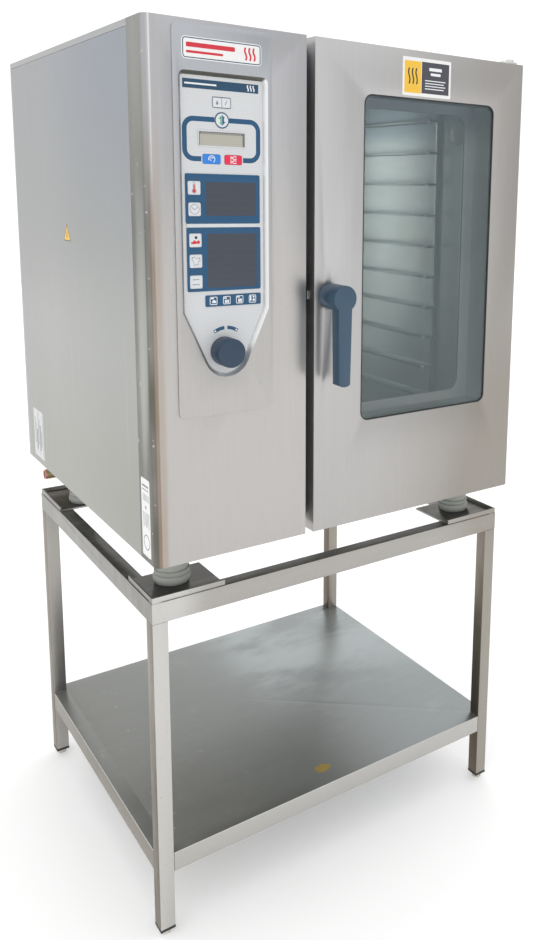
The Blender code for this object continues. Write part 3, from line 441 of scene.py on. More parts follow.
def shelf_steel():
    """The shelf's worn steel: long grain, darker handling marks, pale rubbed patches and one stain, with a
    painted sheen, painted light on front faces, painted shade on left faces and a painted highlight along its
    folded edges.
    """
    made = Finish("mat_shelf_steel", 0.36, 0.85)
    grain = made.noise(GRAIN["X"], 2.0)
    streaks = made.noise((5.0, 60.0, 60.0), 4.0, 0.6)
    clouds = made.noise((4.0, 5.0, 4.0), 5.0, 0.62)
    rubbed = made.spread(made.noise(9.0, 5.0, 0.7, (3.0, 8.0, 2.0)), 0.55, 0.75)
    tone = made.sum(made.around(1.0, (grain, 0.10), (streaks, 0.14), (clouds, 0.26)), made.times(rubbed, 0.10))
    right = made.along(0, SHELF_LOW.x, SHELF_HIGH.x)
    base = made.tint(made.mix(right, (0.245, 0.250, 0.236), (0.300, 0.322, 0.326)), tone)
    # A painted sheen: pale bluish patches towards the right and the back.
    patch = made.spread(made.noise((3.0, 6.0, 3.0), 4.0, 0.6, (1.0, 6.0, 0.0)), 0.34, 0.56)
    sheen = made.times(made.spread(right, 0.38, 0.66), made.along(1, 0.22, 0.50), patch, 0.75)
    base = made.mix(sheen, base, (0.435, 0.475, 0.480))
    scuff = made.spread(made.noise(34.0, 6.0, 0.78, (9.0, 2.0, 4.0)), 0.60, 0.72)
    base = made.mix(made.times(scuff, made.spread(right, 0.45, 0.0, 0.0, 0.45)), base, (0.60, 0.61, 0.60))
    # Painted light on upright faces that turn to the front, painted shade on those that turn left, and a
    # painted highlight along the folded edges.
    facing = made.facing()
    upright = made.spread(facing[2], 0.90, 0.55)
    front = made.times(upright, made.spread(facing[1], 0.10, -0.20), 0.85)
    base = made.mix(front, base, (0.520, 0.505, 0.480))
    left = made.times(upright, made.spread(facing[0], -0.10, -0.30), 0.7)
    base = made.mix(left, base, (0.235, 0.205, 0.165))
    lip = made.times(made.spread(facing[2], 0.35, 0.60), made.spread(facing[2], 0.97, 0.85))
    base = made.mix(lip, base, (0.86, 0.86, 0.85))
    squares = []
    for axis in (0, 1):
        away = made.math("SUBTRACT", made.axes[axis], STAIN_MIDDLE[axis] + CORNER[axis])
        share = made.math("DIVIDE", away, STAIN_SIZE[axis])
        squares.append(made.times(share, share))
    reach = made.math("SQRT", made.sum(*squares))
    ragged = made.sum(reach, made.swing(made.noise(90.0, 4.0, 0.6), 1.1))
    stain = made.spread(ragged, 1.15, 0.80, 0.0, 0.85)
    made.colour(made.mix(stain, base, (0.52, 0.36, 0.07)))
    made.rough(0.36, (clouds, 0.20), (streaks, 0.10))
    made.bump(made.sum(grain, streaks), 0.0002, 0.4)
    return made.material


def foil_film():
    """The pale control foil with its fine level lines."""
    made = Finish("mat_foil", 0.36)
    pitch = 0.0034
    wave = made.math("SINE", made.times(made.axes[2], 2 * math.pi / pitch))
    line = made.spread(wave, 0.30, 0.95)
    cloud = made.noise(14.0, 4.0, 0.6)
    grain = made.noise(1600.0, 1.0)
    tone = made.sum(made.around(1.0, (cloud, 0.06), (grain, 0.05)), made.times(line, -0.10))
    made.colour(made.tint((0.620, 0.635, 0.650), tone))
    made.rough(made.sum(0.36, made.times(line, -0.06)), (cloud, 0.16))
    made.bump(made.sum(grain, line), 0.00003, 0.35)
    return made.material


def pane_plastic(name, colour, roughness, stripes):
    """A display window: smoked plastic over faint rows of segments."""
    made = Finish(name, roughness)
    rows = made.math("SINE", made.times(made.axes[2], 2 * math.pi / stripes))
    row = made.spread(rows, 0.2, 0.9)
    cloud = made.noise(12.0, 3.0, 0.6)
    tone = made.sum(made.around(1.0, (cloud, 0.10), (made.noise(900.0, 1.0), 0.05)), made.times(row, 0.05))
    made.colour(made.tint(colour, tone))
    made.rough(roughness, (cloud, 0.10))
    made.bump(made.noise(700.0, 1.0), 0.00002, 0.3)
    made.set(Coat_Weight=0.3, Coat_Roughness=0.10)
    return made.material


def window_glass(name, colour, alpha):
    """Glass with a faint film of grease, seen through by its alpha."""
    made = Finish(name, 0.06)
    film = made.noise((7.0, 7.0, 3.0), 5.0, 0.65)
    wipe = made.noise((60.0, 60.0, 5.0), 3.0)
    made.colour(made.tint(colour, made.around(1.0, (film, 0.20), (wipe, 0.10))))
    made.rough(0.07, (film, 0.08))
    made.bump(film, 0.0001, 0.15)
    made.set(Alpha=alpha, Specular_IOR_Level=0.6)
    return made.material


def copper_metal():
    """Dull copper tube, olive with age, redder at its cut end."""
    made = Finish("mat_copper", 0.34, 0.60)
    age = made.noise(45.0, 5.0, 0.65)
    streak = made.noise((20.0, 260.0, 260.0), 2.0)
    base = made.mix(made.spread(age, 0.35, 0.70), (0.80, 0.58, 0.34), (0.62, 0.50, 0.27))
    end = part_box("copper_pipe")[0].x
    cut_end = made.spread(made.axes[0], end + 0.006, end + 0.001)
    base = made.mix(cut_end, base, (0.90, 0.50, 0.44))
    made.colour(made.tint(base, made.around(1.0, (streak, 0.20))))
    made.rough(0.32, (age, 0.25))
    made.bump(streak, 0.0001, 0.4)
    return made.material


def leveller_plastic():
    """Black end cap above, cream adjusting foot below."""
    made = Finish("mat_leveller", 0.5)
    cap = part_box("stand_leg_front_left")[0].z - 0.0053
    grain = made.noise(700.0, 2.0)
    dirt = made.noise(55.0, 5.0, 0.7)
    foot = made.mix(made.spread(dirt, 0.45, 0.70, 0.0, 0.6), (0.64, 0.61, 0.53), (0.26, 0.23, 0.19))
    above = made.spread(made.axes[2], cap - 0.0004, cap)
    base = made.mix(above, foot, (0.022, 0.022, 0.024))
    made.colour(made.tint(base, made.around(1.0, (grain, 0.10))))
    made.rough(0.5, (dirt, 0.2))
    made.bump(grain, 0.00008, 0.4)
    return made.material


def circuit_board():
    made = Finish("mat_board", 0.40)
    tracks = put(
        made.tree, "ShaderNodeTexVoronoi", {"feature": "DISTANCE_TO_EDGE"}, Vector=made.place, Scale=130.0
    )
    line = made.spread(tracks.outputs[0], 0.10, 0.04)
    grain = made.noise(400.0, 2.0)
    base = made.mix(line, (0.018, 0.150, 0.062), (0.05, 0.26, 0.11))
    made.colour(made.tint(base, made.around(1.0, (grain, 0.2))))
    made.rough(0.40, (grain, 0.15))
    made.bump(line, 0.00005, 0.4)
    return made.material


CAVITY = cavity_steel()
SIDE = side_steel()
STAND = stand_steel("mat_stand_steel", "Z", (0.155, 0.125, 0.090))
STAND_RAIL = stand_steel("mat_rail_steel", "X", (0.225, 0.224, 0.208))
FRONT = front_steel()
BEZEL = bezel_steel()
DOOR = door_steel()
SHELF = shelf_steel()
FOIL = foil_film()
PANE = pane_plastic("mat_display_dark", (0.030, 0.041, 0.060), 0.24, 0.012)
LCD = pane_plastic("mat_display_light", (0.405, 0.390, 0.330), 0.30, 0.004)
GLASS_OUTER = window_glass("mat_glass_outer", (0.135, 0.172, 0.182), 0.30)
GLASS_INNER = window_glass("mat_glass_inner", (0.150, 0.185, 0.180), 0.18)
GLASS_LAMP = window_glass("mat_glass_lamp", (0.55, 0.58, 0.56), 0.65)
COPPER = copper_metal()
LEVELLER = leveller_plastic()
BOARD = circuit_board()

NODE_FINISH = {name: finish for finish, names in (
    (SIDE, "left_side_panel right_side_panel base_pan"),
    (CAVITY, "door_window_well door_inner_panel cavity_liner air_baffle fan_wheel steam_generator"),
    (BRIGHT, "heater_ring hinge_top hinge_bottom latch_tongue"),
    (PANEL_BLUE, "key_small_1 key_small_2 key_small_3 key_small_4"),
    (REAR, "rear_panel"), (TOP, "top_cover"), (FRONT, "front_cover"), (BEZEL, "control_bezel"),
    (DOOR, "door_skin"), (STAND_RAIL, "stand_top_frame"), (SHELF, "stand_shelf"),
    (RACK, "rack_left rack_right"), (BLACK_PLASTIC, "latch_keeper"), (BLUE_PLASTIC, "door_handle"),
    (KNOB_PLASTIC, "selector_knob"),
    (FOIL, "keypad_foil"), (LCD, "lcd_display"), (PANE, "display_pane"), (GLASS_OUTER, "door_glass_outer"),
    (GLASS_INNER, "door_glass_inner"), (GLASS_LAMP, "cavity_lamp"), (COPPER, "copper_pipe"),
    (BOARD, "control_board"), (MOTOR, "fan_motor"), (SILICONE, "door_gasket"), (KEY_BLUE, "key_moist"),
    (KEY_RED, "key_hot_air"),
) for name in names.split()}
FAMILY_FINISH = {"stand_leg_": STAND, "stand_leveller_": LEVELLER, "oven_foot_": FOOT, "key_": KEY_GREY}
for name in nodes:
    for start, finish in FAMILY_FINISH.items():
        if name.startswith(start):
            NODE_FINISH.setdefault(name, finish)

# ------------------------------------------------------------------ CAD nodes: edges and shading
SHARP = 32.0


def shading_group(name, clean):
    """Geometry nodes that drop imported normals and join corners, or shade smooth up to a sharp angle."""
    group = bpy.data.node_groups.new(name, "GeometryNodeTree")
    group.interface.new_socket("Geometry", in_out="INPUT", socket_type="NodeSocketGeometry")
    group.interface.new_socket("Geometry", in_out="OUTPUT", socket_type="NodeSocketGeometry")
    come = group.nodes.new("NodeGroupInput")
    go = group.nodes.new("NodeGroupOutput")
    if clean:
        drop = group.nodes.new("GeometryNodeRemoveAttribute")
        drop.inputs["Name"].default_value = "custom_normal"
        merge = group.nodes.new("GeometryNodeMergeByDistance")
        merge.inputs["Distance"].default_value = 0.00001
        group.links.new(come.outputs[0], drop.inputs[0])
        group.links.new(drop.outputs[0], merge.inputs[0])
        group.links.new(merge.outputs[0], go.inputs[0])
        return group
    faces = group.nodes.new("GeometryNodeSetShadeSmooth")
    faces.domain = "FACE"
    edges = group.nodes.new("GeometryNodeSetShadeSmooth")
    edges.domain = "EDGE"
    edges.inputs["Shade Smooth"].default_value = False
    angle = group.nodes.new("GeometryNodeInputMeshEdgeAngle")
    over = group.nodes.new("FunctionNodeCompare")
    over.operation = "GREATER_THAN"
    over.inputs[1].default_value = math.radians(SHARP)
    group.links.new(come.outputs[0], faces.inputs["Geometry"])
    group.links.new(faces.outputs[0], edges.inputs["Geometry"])
    group.links.new(angle.outputs["Unsigned Angle"], over.inputs[0])
    group.links.new(over.outputs[0], edges.inputs["Selection"])
    group.links.new(edges.outputs[0], go.inputs[0])
    return group


CLEAN = shading_group("clean_import", True)
SMOOTH = shading_group("smooth_by_angle", False)


def refine(obj, edge, segments, merge):
    """Rounds an object's sharp edges and shades it smooth; merge joins its flat faces first."""
    obj.modifiers.new("clean", "NODES").node_group = CLEAN
    if merge:
        flat = obj.modifiers.new("flat", "DECIMATE")
        flat.decimate_type = "DISSOLVE"
        flat.angle_limit = math.radians(0.6)
    if edge:
        bevel = obj.modifiers.new("edges", "BEVEL")
        bevel.width = edge
        bevel.segments = segments
        bevel.limit_method = "ANGLE"
        bevel.angle_limit = math.radians(SHARP)
        bevel.miter_outer = "MITER_ARC"
    obj.modifiers.new("smooth", "NODES").node_group = SMOOTH


EDGES = {name: edge for edge, names in (
    (0.0004, "door_glass_outer door_glass_inner"),
    (0.0005, "latch_keeper door_inner_panel"),
    (0.0006, "left_side_panel right_side_panel base_pan air_baffle door_window_well"),
    (0.0006, "hinge_bottom latch_tongue"),
    (0.0008, "selector_knob hinge_top rack_left rack_right"),
    (0.0009, "rear_panel top_cover front_cover door_skin cavity_liner"),
    (0.0012, "door_handle"), (0.0014, "stand_top_frame"), (0.0020, "control_bezel"), (0.0022, "stand_shelf"),
) for name in names.split()}
LEG_EDGE = 0.0016
KEY_EDGE = 0.0002
UNMERGED = ("door_inner_panel", "front_cover")
for name, obj in nodes.items():
    for slot in obj.material_slots:
        slot.material = NODE_FINISH[name]
    edge = EDGES.get(name, 0.0)
    if name.startswith("stand_leg_"):
        edge = LEG_EDGE
    elif name.startswith("key_"):
        edge = KEY_EDGE
    refine(obj, edge, 3 if name == "stand_shelf" else 2, name not in UNMERGED)

# ------------------------------------------------------------------ shapes of new pieces
# For each side: the axes across and up it, the axis out of it and that axis's direction
FACING = {"front": (0, 2, 1, -1), "left": (1, 2, 0, -1)}


def arc(x, y, radius, first, last, steps=8):
    """Points on an arc, angles in degrees."""
    turn = [math.radians(first + (last - first) * step / steps) for step in range(steps + 1)]
    return [(x + radius * math.cos(a), y + radius * math.sin(a)) for a in turn]


def rounded(left, right, bottom, top, radius, steps=5):
    """A rectangle with round corners."""
    return (
        arc(right - radius, top - radius, radius, 0, 90, steps)
        + arc(left + radius, top - radius, radius, 90, 180, steps)
        + arc(left + radius, bottom + radius, radius, 180, 270, steps)
        + arc(right - radius, bottom + radius, radius, 270, 360, steps)
    )


def frame_loops(left, right, bottom, top, radius, width):
    """A rounded rectangle and the smaller one inside it."""
    return [
        rounded(left, right, bottom, top, radius),
        rounded(left + width, right - width, bottom + width, top - width, max(radius - width, 0.0002)),
    ]


def disc(x, y, radius, steps=28):
    return arc(x, y, radius, 0, 360, steps)[:-1]


def bar(left, right, bottom, top):
    return [(left, bottom), (right, bottom), (right, top), (left, top)]


def band(x, y, inner, outer, first, last, steps=10):
    """Part of a ring."""
    return arc(x, y, outer, first, last, steps) + arc(x, y, inner, last, first, steps)


def stroke(points, width):
    """The outline of a line of some width through points."""
    sides = ([], [])
    for index, (x, y) in enumerate(points):
        before = points[max(index - 1, 0)]
        after = points[min(index + 1, len(points) - 1)]
        along = Vector((after[0] - before[0], after[1] - before[1])).normalized()
        for side, offset in zip(sides, (-width / 2, width / 2)):
            side.append((x - along.y * offset, y + along.x * offset))
    return sides[0] + sides[1][::-1]


def wavy(x, bottom, top, swing, width, steps=14):
    """An upright wavy stroke, as in a sign for steam."""
    return stroke([
        (x + swing * math.sin(step / steps * 2 * math.pi), bottom + (top - bottom) * step / steps)
        for step in range(steps + 1)
    ], width)


def add_piece(name, mesh, material, body, smooth=35.0):
    """Makes a mesh a piece that rides on a body."""
    bm = bmesh.new()
    bm.from_mesh(mesh)
    bmesh.ops.remove_doubles(bm, verts=bm.verts, dist=0.000004)
    bmesh.ops.recalc_face_normals(bm, faces=bm.faces)
    bm.to_mesh(mesh)
    bm.free()
    mesh.name = name
    mesh.shade_smooth()
    mesh.set_sharp_from_angle(angle=math.radians(smooth))
    mesh.materials.clear()
    mesh.materials.append(material)
    obj = bpy.data.objects.new(name, mesh)
    bpy.context.scene.collection.objects.link(obj)
    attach(obj, body)
    return obj


def drawn_mesh(name, curve):
    """The mesh that a curve makes."""
    drawn = bpy.data.objects.new(name + "_drawn", curve)
    bpy.context.scene.collection.objects.link(drawn)
    bpy.context.view_layer.update()
    mesh = bpy.data.meshes.new_from_object(drawn.evaluated_get(bpy.context.evaluated_depsgraph_get()))
    bpy.data.objects.remove(drawn, do_unlink=True)
    return mesh


def plate(name, loops, facing, surface, depth, material, body, edge=0.0):
    """Flat pieces with these outlines on one side of the object, standing depth out of surface.

    Loops inside others are holes. surface and the loops' points are in cabinet coordinates.
    """
    across, upward, outward, direction = FACING[facing]
    curve = bpy.data.curves.new(name, "CURVE")
    curve.dimensions = "2D"
    curve.fill_mode = "BOTH"
    curve.extrude = depth / 2 - edge
    curve.bevel_depth = edge
    curve.bevel_resolution = 1
    curve.offset = -edge
    for loop in loops:
        spline = curve.splines.new("POLY")
        spline.points.add(len(loop) - 1)
        for point, (u, v) in zip(spline.points, loop):
            point.co = (u, v, 0.0, 1.0)
        spline.use_cyclic_u = True
    mesh = drawn_mesh(name, curve)
    for vertex in mesh.vertices:
        place = [0.0, 0.0, 0.0]
        place[across] = vertex.co.x
        place[upward] = vertex.co.y
        place[outward] = surface + direction * (depth / 2 + vertex.co.z)
        vertex.co = at(*place)
    add_piece(name, mesh, material, body)


def wires(name, paths, radius, material, body):
    """Round wires through points; a path is (points, closed)."""
    curve = bpy.data.curves.new(name, "CURVE")
    curve.dimensions = "3D"
    curve.bevel_depth = radius
    curve.bevel_resolution = 2
    curve.use_fill_caps = True
    for points, closed in paths:
        spline = curve.splines.new("POLY")
        spline.points.add(len(points) - 1)
        for point, place in zip(spline.points, points):
            point.co = (*at(*place), 1.0)
        spline.use_cyclic_u = closed
    add_piece(name, drawn_mesh(name, curve), material, body, 50.0)


def join_rings(bm, rings):
    """Faces between each ring of points and the next."""
    for low, high in zip(rings, rings[1:]):
        for side in range(len(low)):
            after = (side + 1) % len(low)
            bm.faces.new((low[side], low[after], high[after], high[side]))


def mesh_from(bm, name):
    mesh = bpy.data.meshes.new(name)
    bm.to_mesh(mesh)
    bm.free()
    return mesh


def swept(name, path, section, material, body):
    """A section of (outwards, forwards) points carried round a closed path on the front of something.

    The path's points are (x, z, outward x, outward z, y).
    """
    bm = bmesh.new()
    rings = []
    for x, z, out_x, out_z, y in path:
        rings.append([
            bm.verts.new(at(x + out * out_x, y - forward, z + out * out_z)) for out, forward in section
        ])
    join_rings(bm, rings + rings[:1])
    return add_piece(name, mesh_from(bm, name), material, body, 40.0)


def frame_path(left, right, bottom, top, radius, y, steps=6):
    """A rounded rectangle's points with their outward directions, for swept()."""
    points = []
    for x, z, first in (
        (right - radius, top - radius, 0), (left + radius, top - radius, 90),
        (left + radius, bottom + radius, 180), (right - radius, bottom + radius, 270),
    ):
        for step in range(steps + 1):
            turn = math.radians(first + 90 * step / steps)
            out = (math.cos(turn), math.sin(turn))
            points.append((x + radius * out[0], z + radius * out[1], out[0], out[1], y))
    return points


BEAD_PITCH = 0.0012


def beads(name, paths, radius, material, body):
    """Weld beads: short overlapping ripples along a line between two points."""
    bm = bmesh.new()
    sides = 8
    for start, end in paths:
        start, end = at(*start), at(*end)
        along = (end - start).normalized()
        first = along.orthogonal().normalized()
        second = along.cross(first)
        count = max(6, int((end - start).length / BEAD_PITCH))
        rings = []
        for step in range(count + 1):
            share = step / count
            ripple = 0.86 + 0.14 * math.cos(step * math.pi) + seeded.uniform(-0.06, 0.06)
            size = radius * ripple * min(1.0, 0.35 + 4 * share, 0.35 + 4 * (1 - share))
            middle = start.lerp(end, share)
            rings.append([
                bm.verts.new(middle + (first * math.cos(a) + second * math.sin(a)) * size)
                for a in (2 * math.pi * side / sides for side in range(sides))
            ])
        join_rings(bm, rings)
        bm.faces.new(rings[0])
        bm.faces.new(rings[-1][::-1])
    add_piece(name, mesh_from(bm, name), material, body, 60.0)


# ------------------------------------------------------------------ control panel prints
FOIL_FRONT = box("keypad_foil")[0].y
KEY_FRONT = box("key_time")[0].y
BEZEL_FRONT = box("control_bezel")[0].y
SUNK = 0.0001
COVER_EDGE = 0.0001
COVER_FRONT = box("display_pane")[0].y - 0.0001
COVER_BACK = FOIL_FRONT + 0.0003


def printed(name, loops, facing, surface, depth, material, body):
    """An ink layer that stands depth out of a front or left surface and is sunk a little into it."""
    plate(name, loops, facing, surface + SUNK, depth + SUNK, material, body, 0.0)


def on_foil(name, loops, material, depth=INK):
    printed(name, loops, "front", FOIL_FRONT, depth, material, "base")


def over_pane(name, loops, material):
    depth = COVER_BACK - COVER_FRONT
    plate(name, loops, "front", COVER_BACK, depth, material, "base", COVER_EDGE)


def on_badge(name, loops, material):
    plate(name, loops, "front", BEZEL_FRONT - 0.0005, 0.0002, material, "base")


BADGE = (0.0640, 0.2100, 0.8755, 0.9115)
OUTLINE_INSET = 0.0016
left, right, bottom, top = BADGE
plate("badge_plate", [rounded(*BADGE, 0.0065)], "front", BEZEL_FRONT + 0.0002, 0.0008, LABEL_WHITE, "base",
      0.0002)
on_badge("badge_outline", frame_loops(
    left + OUTLINE_INSET, right - OUTLINE_INSET, bottom + OUTLINE_INSET, top - OUTLINE_INSET, 0.0050, 0.0016
), HEADER_BLUE)
on_badge("badge_steam", [wavy(x, 0.8830, 0.9040, 0.0016, 0.0032) for x in (0.180, 0.188, 0.196)], RED_INK)
on_badge("badge_bars", [
    rounded(0.072, 0.160, 0.8945, 0.9020, 0.0012), rounded(0.072, 0.138, 0.8850, 0.8890, 0.0012),
], RED_INK)

on_foil("header_strip", [bar(0.0680, 0.2082, 0.8302, 0.8453)], HEADER_BLUE)
on_foil("header_marks", [
    bar(0.0715, 0.1290, 0.8364, 0.8392),
    *[wavy(x, 0.8330, 0.8428, 0.0010, 0.0022) for x in (0.1880, 0.1935, 0.1990)],
], WHITE_INK, 2 * INK)

# The frame round the function keys: two halves that stop beside the power key and beside the lower keys
RING_LEFT, RING_RIGHT, RING_BOTTOM, RING_TOP = 0.0658, 0.2115, 0.7107, 0.7852
RING_WIDTH = 0.0084
RING_RADIUS = 0.020
RING_GAP = 0.0022
POWER_GAP = 0.0136
POWER_X = sum(corner.x for corner in box("key_power")) / 2


def ring_half(corner_x, bottom_x, top_x, turn):
    """Half of the frame; turn is 90 for the right half and -90 for the left one."""
    low = RING_BOTTOM + RING_RADIUS
    high = RING_TOP - RING_RADIUS
    inner = RING_RADIUS - RING_WIDTH
    return (
        [(bottom_x, RING_BOTTOM)]
        + arc(corner_x, low, RING_RADIUS, -90, turn - 90) + arc(corner_x, high, RING_RADIUS, 90 - turn, 90)
        + [(top_x, RING_TOP), (top_x, RING_TOP - RING_WIDTH)]
        + arc(corner_x, high, inner, 90, 90 - turn) + arc(corner_x, low, inner, turn - 90, -90)
        + [(bottom_x, RING_BOTTOM + RING_WIDTH)]
    )


on_foil("ring_frame", [
    ring_half(RING_RIGHT - RING_RADIUS, box("key_hot_air")[1].x + RING_GAP, POWER_X + POWER_GAP, 90),
    ring_half(RING_LEFT + RING_RADIUS, box("key_moist")[0].x - RING_GAP, POWER_X - POWER_GAP, -90),
], PANEL_BLUE)

lcd_low, lcd_high = box("lcd_display")
over_pane("lcd_frame", [
    rounded(lcd_low.x - 0.0012, lcd_high.x + 0.0012, lcd_low.z - 0.0012, lcd_high.z + 0.0012, 0.0014),
    rounded(lcd_low.x + 0.0006, lcd_high.x - 0.0006, lcd_low.z + 0.0006, lcd_high.z - 0.0006, 0.0006),
], GREY_FOIL)
SHADE_LEFT, SHADE_TOP, SHADE_RIGHT = 0.0022, 0.0048, 0.0050
plate("lcd_shade", [[
    (lcd_low.x, lcd_low.z), (lcd_low.x + SHADE_LEFT, lcd_low.z),
    (lcd_low.x + SHADE_LEFT, lcd_high.z - SHADE_TOP), (lcd_high.x - SHADE_RIGHT, lcd_high.z - SHADE_TOP),
    (lcd_high.x - SHADE_RIGHT, lcd_low.z), (lcd_high.x, lcd_low.z), (lcd_high.x, lcd_high.z),
    (lcd_low.x, lcd_high.z),
]], "front", lcd_low.y + 0.00005, 0.0001, LCD_SHADE, "base", 0.0)
CELL_PITCH = 0.0050
CELL_WIDTH = 0.0036
plate("lcd_cells", [
    bar(x, x + CELL_WIDTH, lcd_high.z - 0.0042, lcd_high.z - 0.0024)
    for x in (lcd_low.x + 0.0052 + CELL_PITCH * cell for cell in range(15))
], "front", lcd_low.y, 0.0001, LCD_CELLS, "base", 0.0)

FIELD_ONE = (0.0693, 0.2092, 0.6057, 0.6901)
FIELD_TWO = (0.0703, 0.2100, 0.4886, 0.5990)
WINDOW_ONE = (0.1064, 0.2016, 0.6188, 0.6767)
WINDOW_TWO = (0.1077, 0.2024, 0.4942, 0.5885)
STRIP = (0.1028, 0.2100, 0.4609, 0.4810)
FIELD_GAP = 0.0003
KEY_MARGIN = 0.0004


def key_holes(*keys):
    """Openings round keys, for the fields that they stand in."""
    corners = [box("key_" + key) for key in keys]
    return [rounded(
        low.x - KEY_MARGIN, high.x + KEY_MARGIN, low.z - KEY_MARGIN, high.z + KEY_MARGIN, 0.0027, 3
    ) for low, high in corners]


over_pane("field_upper", [
    rounded(*FIELD_ONE, 0.0028), rounded(*WINDOW_ONE, 0.0018), *key_holes("temperature", "time"),
], PANEL_BLUE)
over_pane("field_lower", [
    rounded(*FIELD_TWO, 0.0028), rounded(*WINDOW_TWO, 0.0018), *key_holes("core_probe", "programme", "start"),
], PANEL_BLUE)
over_pane("field_gap", [
    bar(FIELD_TWO[0], FIELD_TWO[1], FIELD_TWO[3] + FIELD_GAP, FIELD_ONE[2] - FIELD_GAP),
], GREY_FOIL)
over_pane("small_key_strip", [
    rounded(*STRIP, 0.0024), *key_holes("small_1", "small_2", "small_3", "small_4"),
], PANEL_BLUE)

ARROWS_X = 0.1410
ARROWS_Z = 0.3815
ARROW_RADIUS = 0.0405
ARROW_HALF = 0.0031
on_foil("knob_arrows", [
    band(ARROWS_X, ARROWS_Z, ARROW_RADIUS - ARROW_HALF, ARROW_RADIUS + ARROW_HALF, first, last)
    for first, last in ((94, 124), (56, 86))
], PANEL_BLUE)
on_foil("knob_arrow_ends", [
    disc(ARROWS_X + ARROW_RADIUS * math.cos(a), ARROWS_Z + ARROW_RADIUS * math.sin(a), 0.0017, 14)
    for a in (math.radians(120), math.radians(60))
], WHITE_INK, 2 * INK)

# ------------------------------------------------------------------ key prints


def on_key(short, suffix, material, loops):
    """Prints loops on a key; their points are measured from the middle of its face."""
    key = "key_" + short
    low, high = box(key)
    middle = (low + high) / 2
    moved = [[(middle.x + u, middle.z + v) for u, v in loop] for loop in loops]
    printed(key + "_" + suffix, moved, "front", KEY_FRONT, INK, material, key + "_cap")


def key_frame(short, inset, radius, width):
    """A frame a little inside a key's edge."""
    low, high = box("key_" + short)
    half = (high - low) / 2
    return frame_loops(inset - half.x, half.x - inset, inset - half.z, half.z - inset, radius, width)


PROBED_FOOD = [
    (-0.0085, -0.0052), (-0.0040, -0.0066), (0.0020, -0.0056), (0.0072, -0.0060), (0.0084, -0.0030),
    (0.0060, 0.0004), (0.0040, -0.0010), (0.0012, -0.0022), (-0.0014, 0.0002), (-0.0040, -0.0004),
    (-0.0046, -0.0026), (-0.0080, -0.0028),
]
HAT = [
    (-0.0040, -0.0072), (0.0046, -0.0060), (0.0042, -0.0022), (0.0078, 0.0012), (0.0074, 0.0060),
    (0.0032, 0.0062), (0.0010, 0.0040), (-0.0024, 0.0078), (-0.0072, 0.0066), (-0.0078, 0.0024),
    (-0.0044, -0.0012),
]
on_key("twin", "frame", HEADER_BLUE, key_frame("twin", 0.0001, 0.0026, 0.0009))
on_key("twin", "marks", GREY_INK, [
    bar(-0.0004, 0.0004, -0.0080, 0.0080),
    arc(-0.0083, -0.0018, 0.0021, -210, 30, 12) + [(-0.0083, 0.0036)],
    stroke([(0.0063, -0.0035), (0.0097, 0.0035)], 0.0012),
])
on_key("power", "ring", PANEL_BLUE, [disc(0, 0, 0.0134, 36), disc(0, 0, 0.0116, 36)])
on_key("power", "up", GREEN_INK, [[
    (-0.0064, 0.0022), (-0.0004, 0.0092), (-0.0004, 0.0005), (-0.0004, -0.0088), (-0.0052, -0.0040),
    (-0.0030, -0.0038), (-0.0030, 0.0020),
]])
on_key("power", "down", PANEL_BLUE, [[
    (0.0004, 0.0090), (0.0056, 0.0040), (0.0036, 0.0036), (0.0036, -0.0022), (0.0066, -0.0024),
    (0.0004, -0.0090),
]])
on_key("moist", "marks", WHITE_INK, [
    band(0, 0, 0.0052, 0.0064, -60, 200, 16), band(-0.0012, 0.0002, 0.0018, 0.0028, 20, 290, 12),
    stroke([(0.0006, 0.0036), (0.0022, 0.0020), (0.0036, 0.0032)], 0.0010),
])
on_key("hot_air", "marks", WHITE_INK, [
    stroke([
        (0.0060 * side, 0.0051 - 0.0034 * row), (0.0020 * side, 0.0058 - 0.0034 * row),
        (-0.0020 * side, 0.0044 - 0.0034 * row), (-0.0060 * side, 0.0051 - 0.0034 * row),
    ], 0.0014) for row, side in ((0, 1), (1, -1), (2, 1), (3, -1))
])
on_key("temperature", "tube", GREY_INK, [
    arc(0.0, 0.0078, 0.0021, 0, 180, 8) + arc(0.0, -0.0052, 0.0040, 122, 418, 18),
    arc(0.0, 0.0078, 0.0014, 0, 180, 8) + arc(0.0, -0.0052, 0.0033, 115, 425, 18),
])
on_key("temperature", "red", RED_INK, [
    arc(0.0, 0.0050, 0.0010, 0, 180, 6) + arc(0.0, -0.0052, 0.0029, 110, 430, 18),
])
on_key("time", "clock", GREY_INK, [
    disc(0.0, 0.0, 0.0086), disc(0.0, 0.0, 0.0078),
    stroke([(-0.0048, 0.0030), (0.0, -0.0008), (0.0052, 0.0036)], 0.0010),
])
on_key("core_probe", "food", RED_INK, [PROBED_FOOD])
on_key("core_probe", "tip", BLACK_INK, [disc(0.0010, 0.0048, 0.0026, 16)])
on_key("programme", "hat", GREY_INK, [HAT, [(0.86 * u, 0.86 * v) for u, v in HAT]])
on_key("start", "bars", GREY_INK, [
    bar(left, right, low, low + 0.0016)
    for left, right, low in (
        (-0.0062, -0.0038, 0.0034), (-0.0030, -0.0008, 0.0034), (0.0000, 0.0024, 0.0034),
        (0.0032, 0.0054, 0.0034), (-0.0066, -0.0040, -0.0052), (-0.0032, -0.0004, -0.0052),
        (0.0004, 0.0030, -0.0052), (0.0038, 0.0060, -0.0052),
    )
])
SMALL_MARKS = {
    "small_1": [arc(0.0010, -0.0026, 0.0040, -20, 200, 10), bar(-0.0052, 0.0006, 0.0030, 0.0054)],
    "small_2": [bar(-0.0036, -0.0002, -0.0050, 0.0006), bar(0.0006, 0.0042, -0.0050, 0.0006),
                bar(-0.0052, 0.0000, 0.0026, 0.0050)],
    "small_3": [bar(-0.0028, 0.0002, -0.0050, 0.0014), bar(0.0010, 0.0042, -0.0050, 0.0014),
                bar(-0.0050, 0.0004, 0.0034, 0.0054)],
    "small_4": [disc(0.0024, -0.0020, 0.0024, 14), disc(0.0024, 0.0034, 0.0019, 14),
                bar(-0.0050, -0.0022, -0.0040, 0.0054)],
}
